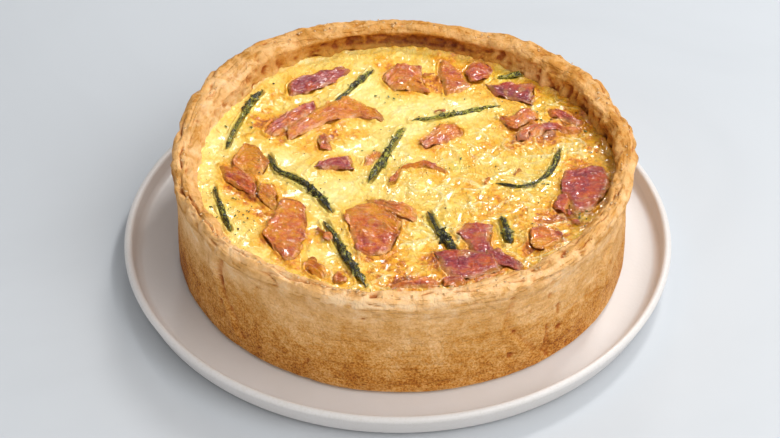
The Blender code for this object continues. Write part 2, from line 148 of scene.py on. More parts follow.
# Ham. Each slice is a lattice of points (x, y, lift over the custard), row by row, then
# how dark it cured at its first and last row (0 is amber, 0.5 pink, 1 purple), and how strongly it wrinkled.
HAM = {
    "ham_back_left_dark": (
        (
            ((-60, 69, 0.5), (-54, 75, 1.2), (-44, 79, 1.0), (-34, 82, 1.4), (-26, 83, 1.0)),
            ((-60, 64, 1.2), (-53, 67, 1.6), (-45, 71, 1.6), (-36, 76, 1.2), (-28, 80, 0.8)),
            ((-59, 58, -0.2), (-53, 60, 0.2), (-47, 62, 0.2), (-37, 69, -0.1), (-29, 77, -0.2)),
        ),
        0.86, 0.80, 0.35,
    ),
    "ham_left_sunken": (
        (
            ((-71, 27, -0.2), (-69, 35, 0.1), (-62, 41, 0.4), (-56, 48, 0.8), (-46, 54, 0.3)),
            ((-69, 26, 0.5), (-65, 31, 0.9), (-59, 37, 0.9), (-53, 43, 1.2), (-45, 50, 0.6)),
            ((-66, 24, 0.1), (-61, 28, 0.5), (-55, 34, 0.4), (-50, 39, 0.3), (-44, 46, -0.2)),
        ),
        0.72, 0.60, 0.30,
    ),
    "ham_left_curl": (
        (
            ((-44, 24, 0.0), (-41, 26, 1.6), (-37, 23, 0.4)),
            ((-43, 19, 1.6), (-40, 20, 0.4), (-37, 18, 2.0)),
            ((-42, 14, 0.0), (-39, 13, 1.0), (-35, 14, 0.0)),
        ),
        0.75, 0.60, 0.25,
    ),
    "ham_middle_purple": (
        (
            ((-45, -1, 0.0), (-40, 5, 0.4), (-33, 8, 0.6), (-26, 8, 0.8)),
            ((-43, -2, 0.5), (-37, 2, 1.3), (-31, 3, 1.4), (-25, 3, 1.4)),
            ((-42, -3, -0.2), (-35, -3, 0.1), (-30, -4, 0.2), (-24, -4, 0.1)),
        ),
        0.82, 0.86, 0.20,
    ),
    "ham_middle_fold": (
        (
            ((-20, -1, 0.2), (-18, 5, 1.8), (-15, 10, 2.4), (-12, 12, 1.0)),
            ((-18, 0, 0.6), (-16, 5, 0.5), (-14, 9, 0.8), (-11, 10, 0.6)),
            ((-16, 0, 0.0), (-14, 3, 0.2), (-12, 6, 0.4), (-10, 8, 0.0)),
        ),
        0.30, 0.45, 0.20,
    ),
    "ham_far_left_flap": (
        (
            ((-86, 2, 0.3), (-80, 11, 3.3), (-73, 8, 3.6), (-68, 2, 1.4)),
            ((-85, -1, 0.6), (-79, 4, 1.2), (-73, 2, 1.6), (-68, -3, 0.9)),
            ((-84, -4, 0.0), (-78, -5, 0.3), (-73, -8, 0.4), (-69, -8, 0.2)),
        ),
        0.02, 0.30, 0.20,
    ),
    "ham_far_left_red": (
        (
            ((-92, 0, 0.0), (-84, -3, 1.0), (-76, -8, 0.8), (-72, -12, 0.4)),
            ((-90, -6, 0.4), (-84, -9, 1.5), (-77, -14, 1.8), (-72, -18, 0.9)),
            ((-88, -13, -0.2), (-84, -17, 0.3), (-77, -22, 0.2), (-72, -25, 0.0)),
        ),
        0.30, 0.66, 0.45,
    ),
    "ham_far_left_tail": (
        (
            ((-70, -14, 0.2), (-64, -17, 0.8), (-61, -24, 0.6)),
            ((-71, -19, 1.0), (-66, -24, 1.8), (-61, -30, 1.0)),
            ((-72, -24, 0.0), (-67, -31, 0.4), (-62, -36, 0.0)),
        ),
        0.25, 0.08, 0.30,
    ),
    "ham_front_left_wide": (
        (
            ((-59, -29, 0.8), (-53, -30, 0.6), (-47, -35, 0.2)),
            ((-62, -41, 1.6), (-54, -44, 0.9), (-46, -48, 0.3)),
            ((-67, -53, 1.4), (-58, -57, 1.0), (-47, -60, 0.2)),
            ((-62, -64, 0.2), (-55, -68, 0.4), (-49, -69, 0.0)),
            ((-56, -71, -0.2), (-54, -74, -0.2), (-52, -73, -0.2)),
        ),
        0.36, 0.40, 0.25,
    ),
    "ham_front_wide": (
        (
            ((-28, -36, 0.2), (-18, -34, 1.6), (-8, -37, 1.8), (0, -45, 0.8)),
            ((-27, -44, 0.2), (-18, -44, 0.6), (-9, -46, 0.8), (-1, -52, 0.3)),
            ((-25, -54, 0.3), (-17, -54, 0.8), (-10, -55, 0.9), (-3, -58, 0.3)),
            ((-22, -66, -0.2), (-16, -69, 0.2), (-10, -69, 0.3), (-5, -66, -0.1)),
        ),
        0.20, 0.62, 0.40,
    ),
    "ham_front_ribbon": (
        (
            ((-17, -26, 0.6), (-8, -30, 2.2), (1, -32, 2.4), (7, -34, 0.8)),
            ((-16, -30, 0.8), (-7, -34, 1.2), (1, -37, 1.4), (7, -40, 0.8)),
            ((-15, -33, 0.0), (-6, -38, 0.2), (1, -42, 0.2), (6, -45, 0.0)),
        ),
        0.42, 0.22, 0.20,
    ),
    "ham_front_left_scrap": (
        (
            ((-44, -73, 0.2), (-41, -74, 1.8), (-37, -79, 1.4), (-35, -85, 0.2)),
            ((-45, -76, 0.8), (-42, -78, 1.0), (-39, -82, 1.6), (-37, -86, 0.4)),
            ((-46, -79, 0.0), (-44, -82, 0.2), (-41, -85, 0.2), (-38, -87, 0.0)),
        ),
        0.30, 0.25, 0.30,
    ),
    "ham_front_left_knot": (
        (
            ((-33, -85, 0.2), (-30, -82, 1.9), (-27, -84, 0.8)),
            ((-33, -87, 1.6), (-30, -86, 0.5), (-26, -87, 1.9)),
            ((-32, -89, 0.0), (-29, -90, 0.6), (-26, -89, 0.0)),
        ),
        0.60, 0.50, 0.20,
    ),
    "ham_front_edge": (
        (
            ((-7, -91, 0.0), (-1, -89, 0.8), (5, -87, 1.2), (12, -87, 0.9), (17, -89, 0.2)),
            ((-6, -92, 0.8), (0, -91, 1.6), (6, -90, 1.4), (12, -90, 1.6), (17, -91, 0.5)),
            ((-5, -94, 0.0), (0, -93, 0.4), (6, -93, 0.4), (12, -93, 0.4), (17, -94, 0.0)),
        ),
        0.62, 0.66, 0.35,
    ),
    "ham_front_crumple": (
        (
            ((18, -87, 0.0), (22, -85, 1.6), (27, -86, 0.6), (30, -89, 0.0)),
            ((18, -89, 1.0), (22, -88, 0.6), (27, -89, 2.0), (30, -91, 0.6)),
            ((19, -93, 0.0), (22, -92, 0.8), (27, -93, 0.4), (29, -93, 0.0)),
        ),
        0.70, 0.60, 0.30,
    ),
    "ham_back_orange": (
        (
            ((-11, 77, 0.2), (-6, 84, 1.2), (3, 86, 1.4), (11, 83, 0.9)),
            ((-8, 71, 0.2), (-2, 76, 0.8), (5, 76, 1.4), (12, 73, 1.2)),
            ((-4, 66, -0.2), (2, 66, 0.3), (8, 64, 0.4), (15, 61, 0.1)),
        ),
        0.52, 0.30, 0.40,
    ),
    "ham_back_pink": (
        (
            ((22, 93, 0.8), (25, 90, 0.8), (28, 86, 0.2)),
            ((20, 82, 1.2), (26, 79, 0.9), (33, 77, 0.5)),
            ((22, 70, 0.9), (29, 69, 0.8), (37, 71, 0.4)),
            ((23, 60, 0.0), (30, 63, 0.2), (38, 69, 0.0)),
        ),
        0.55, 0.46, 0.20,
    ),
    "ham_back_striped": (
        (
            ((33, 82, 0.2), (38, 88, 1.0), (44, 89, 0.9), (48, 84, 0.2)),
            ((35, 77, 0.6), (40, 81, 1.5), (45, 81, 1.2), (48, 79, 0.5)),
            ((37, 72, 0.0), (41, 71, 0.3), (45, 73, 0.4), (47, 76, 0.0)),
        ),
        0.70, 0.66, 0.30,
    ),
    "ham_back_right_purple": (
        (
            ((45, 69, 0.2), (54, 69, 0.6), (62, 69, 0.8), (70, 69, 1.4)),
            ((47, 64, 0.6), (55, 62, 1.0), (62, 60, 1.3), (70, 59, 1.5)),
            ((50, 58, -0.1), (56, 55, 0.2), (62, 52, 0.4), (69, 49, 0.4)),
        ),
        0.80, 0.95, 0.15,
    ),
    "ham_right_swirl": (
        (
            ((50, 43, 0.2), (56, 38, 1.0), (65, 45, 0.8), (71, 43, 0.4)),
            ((52, 37, 0.8), (58, 34, 1.4), (65, 40, 1.8), (71, 40, 1.0)),
            ((55, 31, 0.0), (59, 29, 0.4), (65, 35, 0.6), (71, 37, 0.2)),
        ),
        0.42, 0.58, 0.20,
    ),
    "ham_right_curl": (
        (
            ((58, 20, 0.1), (60, 27, 1.4), (65, 33, 2.0), (71, 34, 1.2)),
            ((61, 20, 0.6), (62, 25, 0.6), (67, 30, 0.8), (72, 32, 0.8)),
            ((64, 20, 0.0), (65, 24, 1.2), (69, 28, 1.6), (74, 31, 0.2)),
        ),
        0.78, 0.70, 0.15,
    ),
    "ham_far_right_sliver": (
        (
            ((76, 47, 0.0), (82, 45, 1.2), (89, 38, 1.2), (94, 35, 0.2)),
            ((76, 44, 0.8), (83, 41, 1.5), (89, 36, 1.4), (94, 34, 0.6)),
            ((77, 40, 0.0), (84, 36, 0.3), (89, 32, 0.3), (93, 32, 0.0)),
        ),
        0.68, 0.74, 0.25,
    ),
    "ham_middle_back": (
        (
            ((9, 18, 0.1), (14, 26, 0.9), (20, 33, 1.4), (26, 35, 1.6), (32, 30, 0.5)),
            ((10, 16, 0.4), (16, 21, 1.0), (22, 26, 1.2), (27, 29, 1.4), (32, 27, 0.6)),
            ((12, 13, 0.0), (18, 15, 0.3), (24, 19, 0.4), (28, 23, 0.3), (32, 25, 0.0)),
        ),
        0.18, 0.62, 0.30,
    ),
    "ham_far_right_wide": (
        (
            ((81, -3, 0.8), (87, -3, 0.9), (95, -3, 1.1), (102, -8, 2.2)),
            ((79, -16, 1.2), (86, -14, 1.1), (94, -14, 1.6), (103, -17, 2.6)),
            ((80, -26, 0.8), (86, -27, 1.2), (93, -27, 1.6), (99, -27, 1.8)),
            ((83, -37, 0.0), (88, -38, 0.2), (93, -36, 0.5), (96, -31, 0.4)),
        ),
        0.80, 0.72, 0.20,
    ),
    "ham_far_right_tab": (
        (
            ((77, -24, 0.2), (79, -24, 0.6), (82, -24, 0.6)),
            ((75, -29, 0.4), (78, -30, 1.1), (82, -32, 0.6)),
            ((73, -34, 0.0), (75, -37, 0.2), (78, -39, 0.0)),
        ),
        0.80, 0.66, 0.25,
    ),
    "ham_front_right_fan": (
        (
            ((25, -51, 0.2), (30, -47, 0.9), (36, -45, 1.1), (43, -48, 0.6)),
            ((28, -55, 0.4), (32, -54, 0.9), (37, -53, 1.3), (43, -52, 0.8)),
            ((31, -61, 0.4), (34, -61, 0.8), (37, -61, 1.0), (42, -59, 0.5)),
            ((32, -68, 0.2), (35, -69, 0.4), (38, -70, 0.4), (42, -68, 0.2)),
        ),
        0.72, 0.80, 0.20,
    ),
    "ham_front_right_lobe": (
        (
            ((14, -65, 0.2), (22, -67, 0.5), (32, -66, 0.8), (42, -68, 0.7)),
            ((17, -73, 0.4), (24, -74, 0.8), (32, -75, 1.2), (46, -76, 1.0)),
            ((18, -81, 0.2), (24, -85, 0.4), (31, -87, 0.4), (46, -81, 0.3)),
        ),
        0.84, 0.74, 0.25,
    ),
    "ham_front_right_arm": (
        (
            ((37, -63, 0.6), (44, -66, 1.6), (51, -71, 1.4), (57, -78, 0.3)),
            ((39, -68, 1.1), (45, -71, 1.0), (51, -75, 1.1), (57, -80, 0.3)),
            ((42, -73, 0.4), (46, -77, 0.3), (51, -80, 0.2), (56, -82, 0.0)),
        ),
        0.86, 0.90, 0.30,
    ),
    "ham_right_corner": (
        (
            ((61, -51, 0.6), (66, -50, 1.8), (71, -52, 1.2), (76, -56, 0.2)),
            ((60, -58, 0.6), (66, -57, 0.7), (71, -58, 0.9), (76, -59, 0.4)),
            ((61, -64, 0.0), (66, -67, 0.3), (71, -65, 0.2), (76, -61, 0.0)),
        ),
        0.66, 0.12, 0.35,
    ),
    "ham_left_arch": (
        (
            ((-59, 30, 0.6), (-50, 40, 1.6), (-42, 46, 2.6), (-32, 52, 4.2), (-23, 50, 4.4), (-15, 44, 3.0), (-9, 37, 0.8)),
            ((-59, 25, 1.8), (-51, 33, 2.6), (-43, 39, 2.8), (-33, 44, 2.9), (-24, 44, 2.6), (-16, 41, 1.8), (-9, 37, 0.7)),
            ((-58, 20, 0.4), (-52, 25, 0.7), (-45, 31, 0.6), (-35, 36, 0.4), (-25, 39, 0.4), (-17, 38, 0.3), (-9, 36, 0.3)),
        ),
        0.10, 0.50, 0.15,
    ),
    "ham_right_band": (
        (
            ((64, 27, 0.2), (70, 31, 1.4), (78, 33, 1.8), (85, 30, 1.6), (92, 30, 0.6)),
            ((66, 25, 1.2), (71, 29, 2.2), (78, 31, 2.4), (85, 28, 2.2), (93, 28, 1.2)),
            ((67, 22, 0.2), (73, 26, 0.6), (79, 28, 0.6), (85, 25, 0.4), (92, 26, 0.2)),
        ),
        0.66, 0.62, 0.15,
    ),
    "ham_middle_arc": (
        (
            ((-3, -15, 0.4), (-1, -7, 1.4), (5, -1, 1.9), (13, -1, 1.5), (23, -6, 0.3)),
            ((-4, -15, 1.2), (-2, -7, 2.0), (5, -2, 2.4), (13, -2, 1.8), (23, -7, 0.6)),
            ((-6, -15, 0.0), (-4, -7, 0.3), (4, -3, 0.6), (12, -3, 0.3), (22, -8, 0.0)),
        ),
        0.55, 0.50, 0.10,
    ),
}

# Asparagus: name, points (x, y) from cut end to tip, width at the stem, width at the bud, greenness
SPEARS = {
    "asparagus_far_left": (((-89, 12), (-85, 32), (-79, 52), (-73, 64)), 2.8, 4.4, 0.45),
    "asparagus_back_left": (((-36, 52), (-26, 66), (-15, 84)), 2.8, 4.4, 0.40),
    "asparagus_middle_long": (((4, 38), (20, 41), (52, 50)), 2.5, 3.6, 0.80),
    "asparagus_middle_tip": (((1, 33), (-4, 18), (-9, 6), (-17, -14)), 3.0, 5.4, 0.50),
    "asparagus_left": (((-68, 10), (-62, -5), (-52, -12), (-43, -22), (-34, -38)), 3.6, 4.6, 0.15),
    "asparagus_front_left": (((-38, -43), (-32, -57), (-27, -69), (-17, -93)), 3.2, 5.2, 0.15),
    "asparagus_rim_left": (((-93, -16), (-90, -30), (-82, -53)), 2.0, 3.6, 0.35),
    "asparagus_front_right": (((12, -35), (16, -47), (20, -56), (26, -67)), 2.8, 6.0, 0.05),
    "asparagus_right": (((46, -14), (60, -17), (70, -10), (77, 2), (80, 14)), 2.4, 4.0, 0.35),
    "asparagus_right_tip": (((48, -40), (51, -61)), 3.6, 5.6, 0.25),
    "asparagus_back_right": (((51, 75), (65, 77)), 3.2, 4.2, 0.70),
}
SPEAR_FLATTENING = 0.62

# Scraps of ham and asparagus too small to be pieces of their own: (x, y, size, turn in degrees, darkness)
HAM_SCRAPS = (
    (43, -13, 5.0, 80, 0.55), (57, -5, 4.0, 40, 0.75), (20, 46, 4.5, 20, 0.45), (-37, -55, 8.0, -40, 0.55),
    (81, -39, 4.5, -60, 0.85), (84, -46, 4.5, -50, 0.80), (-12, 9, 3.5, 60, 0.40), (9, 71, 4.0, -20, 0.55),
    (15, 78, 4.0, 30, 0.40), (68, 55, 3.0, 70, 0.80),
)


# ---------------------------------------------------------------- numbers over whole arrays


def hashed(cells, seed):
    """A repeatable value from 0 to 1 for each whole-numbered cell: its numbers are multiplied by large odd
    constants, combined by exclusive or, and stirred by shifting and multiplying."""
    cells = (cells & 0xFFFFFFFF).astype(np.uint32)
    mixed = cells[..., 0] * np.uint32(0x9E3779B1)
    mixed ^= cells[..., 1] * np.uint32(0x85EBCA77)
    mixed ^= cells[..., 2] * np.uint32(0xC2B2AE3D)
    mixed ^= np.uint32(seed * 0x27D4EB2F & 0xFFFFFFFF)
    for shift, factor in ((15, 0x2C1B3C6D), (12, 0x297A2D39)):
        mixed ^= mixed >> np.uint32(shift)
        mixed *= np.uint32(factor)
    mixed ^= mixed >> np.uint32(15)
    return mixed / 4294967295.0


def soft_noise(points, cell, seed=0):
    """Smooth noise from -1 to 1: values hashed at the corners of a lattice of cubes, blended along each axis
    by the ease curve three t squared less two t cubed."""
    scaled = np.asarray(points, float) / cell
    base = np.floor(scaled)
    t = scaled - base
    t = t * t * (3 - 2 * t)
    base = base.astype(np.int64)
    total = np.zeros(scaled.shape[:-1])
    for corner in np.ndindex(2, 2, 2):
        weight = np.prod(np.where(np.array(corner) == 1, t, 1 - t), axis=-1)
        total += weight * hashed(base + np.array(corner), seed)
    return 2 * total - 1


def layered_noise(points, cell, octaves, seed=0):
    """Octaves of soft noise added up, each with half the cell and half the strength of the one before."""
    points = np.asarray(points, float)
    total = sum(0.5**k * soft_noise(points, cell * 0.5**k, seed + k) for k in range(octaves))
    return total / (2 - 0.5 ** (octaves - 1))


def ease(low, high, value):
    """0 below low, 1 above high, and the ease curve between them."""
    t = np.clip((value - low) / (high - low), 0, 1)
    return t * t * (3 - 2 * t)


def flat_points(x, y, z=0.0):
    return np.stack(np.broadcast_arrays(x, y, z), axis=-1).astype(float)


def wander(angle, waves):
    return sum(size * np.sin(count * angle + phase) for count, size, phase in waves)


def spots(x, y, places):
    """The largest of several round bells, each its strength times e to the minus square of distance over radius."""
    total = np.zeros(np.broadcast(x, y).shape)
    for spot_x, spot_y, radius, strength in places:
        total = np.maximum(total, strength * np.exp(-((x - spot_x) ** 2 + (y - spot_y) ** 2) / radius**2))
    return total


def spline_weights(count, samples):
    """The matrix that carries a smooth (Catmull-Rom) curve through evenly spaced points: each sample is four
    neighbouring points times cubic weights, with straight run-outs beyond both ends."""
    at = np.linspace(0, count - 1, samples)
    k = np.minimum(at.astype(int), count - 2)
    s = at - k
    cubics = np.stack(
        (
            -0.5 * s + s**2 - 0.5 * s**3,
            1 - 2.5 * s**2 + 1.5 * s**3,
            0.5 * s + 2 * s**2 - 1.5 * s**3,
            -0.5 * s**2 + 0.5 * s**3,
        ),
        axis=1,
    )
    padded = np.zeros((samples, count + 2))
    for offset in range(4):
        padded[np.arange(samples), k + offset] += cubics[:, offset]
    weights = padded[:, 1:-1].copy()
    weights[:, 0] += 2 * padded[:, 0]
    weights[:, 1] -= padded[:, 0]
    weights[:, -1] += 2 * padded[:, -1]
    weights[:, -2] -= padded[:, -1]
    return weights


def crumpled(points, cell, octaves, seed):
    """Folded dough: one less twice the size of soft noise makes ridges where it crosses zero; octaves are added
    up, over points that are themselves shifted by noise, so the ridges bend."""
    shift = np.stack([soft_noise(points, 1.3 * cell, seed + k) for k in (50, 51, 52)], axis=-1)
    bent = points + 0.45 * cell * shift
    total = sum(0.5**k * (1 - 2.4 * np.abs(soft_noise(bent, cell * 0.5**k, seed + k))) for k in range(octaves))
    return total / (2 - 0.5 ** (octaves - 1))


def custard_level(x, y):
    """The baked top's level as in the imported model: broad swells, and a slight rise where it meets the crust."""
    swell = 0.5 * np.sin(x / 17 + 0.6) * np.cos(y / 21) + 0.35 * np.sin((x + y) / 13)
    return CUSTARD_LEVEL + swell + EDGE_RISE * (np.hypot(x, y) / RIM_INNER) ** 6


# ---------------------------------------------------------------- meshes from grids


def grid_quads(rows, columns, wrap=False):
    """Four neighbouring grid points make each face. When it wraps, the last column joins the first."""
    i = np.arange(rows - 1)[:, None]
    j = np.arange(columns if wrap else columns - 1)[None, :]
    after = (j + 1) % columns
    corners = (i * columns + j, i * columns + after, (i + 1) * columns + after, (i + 1) * columns + j)
    return np.stack(corners, axis=-1).reshape(-1, 4)


def fan(ring, pole):
    """Triangles from each pair of neighbours on a closed ring to one pole."""
    return np.stack((ring, np.roll(ring, -1), np.full(len(ring), pole)), axis=-1)


def border_quads(first, second):
    """Quads that join two closed rings of the same number of points."""
    return np.stack((first, np.roll(first, -1), np.roll(second, -1), second), axis=-1)


def turn_outwards(points, quads, triangles):
    """Reverses every face if the solid they close has a negative volume (a sum of signed tetrahedra)."""
    halves = [quads[:, (0, 1, 2)], quads[:, (0, 2, 3)], triangles]
    a, b, c = (np.concatenate([half[:, k] for half in halves]) for k in range(3))
    volume = np.einsum("ij,ij->i", points[a], np.cross(points[b], points[c])).sum()
    return (quads, triangles) if volume > 0 else (quads[:, ::-1], triangles[:, ::-1])


def make_piece(name, points, quads, triangles, material, values=None, place=QUICHE_PLACE):
    """Makes a closed piece of the model from points in millimetres, with named values kept at its points."""
    triangles = np.zeros((0, 3), int) if triangles is None else triangles
    quads, triangles = turn_outwards(points, quads, triangles)
    mesh = bpy.data.meshes.new(name)
    mesh.from_pydata(((points + place) * MM).tolist(), [], quads.tolist() + triangles.tolist())
    for key, data in (values or {}).items():
        kind, field = ("FLOAT", "value") if data.ndim == 1 else ("FLOAT_VECTOR", "vector")
        layer = mesh.attributes.new(key, kind, "POINT")
        layer.data.foreach_set(field, np.ascontiguousarray(data, np.float32).ravel())
    mesh.shade_smooth()
    mesh.materials.append(material)
    piece = bpy.data.objects.new(name, mesh)
    bpy.context.scene.collection.objects.link(piece)
    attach(piece, "root")
    return piece


def turned_faces(rows, columns):
    """Faces of a closed turned form: a wrapped grid, with a pole point after it for the first and last row."""
    quads = grid_quads(rows, columns, wrap=True)
    last_row = (rows - 1) * columns + np.arange(columns)
    triangles = np.concatenate((fan(np.arange(columns), rows * columns), fan(last_row[::-1], rows * columns + 1)))
    return quads, triangles


def sheet_faces(rows, columns):
    """Faces of a thin closed sheet: a top grid, a bottom grid, and a border that joins them."""
    top = grid_quads(rows, columns)
    bottom = top[:, ::-1] + rows * columns
    i, j = np.arange(rows), np.arange(columns)
    ring = np.concatenate(
        (
            j[:-1],
            i[:-1] * columns + columns - 1,
            (rows - 1) * columns + j[:0:-1],
            i[:0:-1] * columns,
        )
    )
    return np.concatenate((top, bottom, border_quads(ring + rows * columns, ring)))


def grid_normals(grid, wrap=False):
    """Unit normals of a grid: the cross product of its central differences along rows and along columns."""
    along = np.gradient(grid, axis=0)
    if wrap:
        across = np.roll(grid, -1, axis=1) - np.roll(grid, 1, axis=1)
    else:
        across = np.gradient(grid, axis=1)
    normals = np.cross(across, along)
    return normals / np.maximum(np.linalg.norm(normals, axis=-1, keepdims=True), 1e-9)


# ---------------------------------------------------------------- node trees


class Graph:
    """Short ways to add and join the nodes of one tree."""

    def __init__(self, tree):
        self.tree = tree

    def wire(self, sockets, values):
        """Sets each named socket to a plain value, or links it to another node's output."""
        for key, value in values.items():
            if isinstance(value, bpy.types.NodeSocket):
                self.tree.links.new(value, sockets[key])
            else:
                sockets[key].default_value = value

    def add(self, kind, inputs=None, **settings):
        node = self.tree.nodes.new(kind)
        for key, value in settings.items():
            setattr(node, key, value)
        self.wire(node.inputs, inputs or {})
        return node

    def calc(self, operation, first, second=0.0, clamp=False):
        return self.add("ShaderNodeMath", {0: first, 1: second}, operation=operation, use_clamp=clamp).outputs[0]

    def total(self, *terms):
        result = terms[0]
        for term in terms[1:]:
            result = self.calc("ADD", result, term)
        return result

    def times(self, *factors):
        result = factors[0]
        for factor in factors[1:]:
            result = self.calc("MULTIPLY", result, factor)
        return result

    def span(self, value, low, high, first=0.0, last=1.0):
        """The value eased from first, at or below low, to last, at or above high."""
        inputs = {"Value": value, "From Min": low, "From Max": high, "To Min": first, "To Max": last}
        return self.add("ShaderNodeMapRange", inputs, interpolation_type="SMOOTHSTEP").outputs[0]

    def blend(self, factor, first, second, mode="MIX"):
        inputs = {0: factor, 6: first, 7: second}
        return self.add("ShaderNodeMix", inputs, data_type="RGBA", blend_type=mode).outputs[2]

    def ramp(self, value, stops):
        node = self.add("ShaderNodeValToRGB", {0: value})
        elements = node.color_ramp.elements
        while len(elements) < len(stops):
            elements.new(0.5)
        for element, (place, colour) in zip(elements, stops):
            element.position = place
            element.color = (*colour, 1.0)
        return node.outputs[0]

    def noise(self, vector, size, detail=3.0, roughness=0.55, distortion=0.0):
        """Layered noise whose largest lumps are about the size given."""
        inputs = {
            "Vector": vector,
            "Scale": 1.0 / size,
            "Detail": detail,
            "Roughness": roughness,
            "Distortion": distortion,
        }
        return self.add("ShaderNodeTexNoise", inputs).outputs[0]

    def stretch(self, vector, scale):
        return self.add("ShaderNodeMapping", {"Vector": vector, "Scale": scale}).outputs[0]

    def value(self, name):
        return self.add("ShaderNodeAttribute", attribute_name=name).outputs["Fac"]

    def vector(self, name):
        return self.add("ShaderNodeAttribute", attribute_name=name).outputs["Vector"]

    def millimetres(self):
        """The piece's own coordinates, counted in millimetres."""
        place = self.add("ShaderNodeTexCoord").outputs["Object"]
        return self.stretch(place, (1 / MM, 1 / MM, 1 / MM))

    def shared(self, group, inputs):
        """A shared effect's outputs, with its named inputs set."""
        node = self.tree.nodes.new("ShaderNodeGroup")
        node.node_tree = group
        self.wire(node.inputs, inputs)
        return node.outputs

    def bump(self, height, distance, normal=None):
        """A normal tipped by a height from 0 to 1, where 1 stands the given number of millimetres up."""
        inputs = {"Height": height, "Distance": distance * MM, "Strength": 1.0}
        if normal is not None:
            inputs["Normal"] = normal
        return self.add("ShaderNodeBump", inputs).outputs[0]


SOCKETS = {"value": "NodeSocketFloat", "vector": "NodeSocketVector", "colour": "NodeSocketColor"}


def open_group(name, inputs, outputs):
    """Starts a node group: inputs are named (kind, default) and outputs are named kinds."""
    tree = bpy.data.node_groups.new(name, "ShaderNodeTree")
    for key, (kind, default) in inputs.items():
        socket = tree.interface.new_socket(name=key, in_out="INPUT", socket_type=SOCKETS[kind])
        if default is not None:
            socket.default_value = default
    for key, kind in outputs.items():
        tree.interface.new_socket(name=key, in_out="OUTPUT", socket_type=SOCKETS[kind])
    graph = Graph(tree)
    return tree, graph, graph.add("NodeGroupInput").outputs, graph.add("NodeGroupOutput").inputs


def mottling_group():
    """Soft-edged patches: layered noise pushed apart between a low and a high level."""
    name = "Baked mottling"
    if name in bpy.data.node_groups:
        return bpy.data.node_groups[name]
    tree, graph, given, result = open_group(
        name,
        {"Vector": ("vector", None), "Size": ("value", 5.0), "Low": ("value", 0.4), "High": ("value", 0.6)},
        {"Mask": "value"},
    )
    scaled = graph.add("ShaderNodeVectorMath", {0: given["Vector"]}, operation="SCALE")
    graph.wire(scaled.inputs, {"Scale": graph.calc("DIVIDE", 1.0, given["Size"])})
    noise = graph.noise(scaled.outputs[0], 1.0, 4.0, 0.6, 0.3)
    graph.wire(result, {"Mask": graph.span(noise, given["Low"], given["High"])})
    return tree


def film_group():
    """Melted butter and cheese oil: wet patches broken into beads, smoother than the crumb between them."""
    name = "Oily film"
    if name in bpy.data.node_groups:
        return bpy.data.node_groups[name]
    tree, graph, given, result = open_group(
        name,
        {"Vector": ("vector", None), "Amount": ("value", 0.5), "Dry roughness": ("value", 0.5)},
        {"Wet": "value", "Roughness": "value"},
    )
    patches = graph.span(graph.noise(given["Vector"], 6.0), 0.36, 0.60, 0.35, 1.0)
    beads = graph.span(graph.noise(given["Vector"], 1.1, 2.0), 0.35, 0.65, 0.5, 1.0)
    wet = graph.calc("MULTIPLY", given["Amount"], graph.times(patches, beads), clamp=True)
    dryness = graph.calc("SUBTRACT", 1.0, graph.times(wet, 0.6))
    graph.wire(result, {"Wet": wet, "Roughness": graph.times(given["Dry roughness"], dryness)})
    return tree


def specks_group():
    """Scattered round specks: the distance to the nearest random point, kept only in some cells."""
    name = "Fine specks"
    if name in bpy.data.node_groups:
        return bpy.data.node_groups[name]
    tree, graph, given, result = open_group(
        name,
        {
            "Vector": ("vector", None),
            "Spacing": ("value", 3.0),
            "Radius": ("value", 0.2),
            "Share": ("value", 0.3),
        },
        {"Mask": "value"},
    )
    scale = graph.calc("DIVIDE", 1.0, given["Spacing"])
    cells = graph.add("ShaderNodeTexVoronoi", {"Vector": given["Vector"], "Scale": scale})
    chance = graph.add("ShaderNodeSeparateColor", {0: cells.outputs["Color"]}).outputs[0]
    kept = graph.calc("LESS_THAN", chance, given["Share"])
    reach = graph.calc("DIVIDE", given["Radius"], given["Spacing"])
    near = graph.calc("SUBTRACT", 1.0, graph.calc("DIVIDE", cells.outputs["Distance"], reach), clamp=True)
    graph.wire(result, {"Mask": graph.times(kept, graph.span(near, 0.0, 0.5))})
    return tree


def begin_material(name):
    """An empty material with one Principled shader; returns the material, its graph and the shader's inputs."""
    material = bpy.data.materials.new(name)
    material.use_nodes = True
    material.node_tree.nodes.clear()
    graph = Graph(material.node_tree)
    shader = graph.add("ShaderNodeBsdfPrincipled")
    graph.add("ShaderNodeOutputMaterial", {"Surface": shader.outputs[0]})
    return material, graph, shader.inputs


# ---------------------------------------------------------------- materials


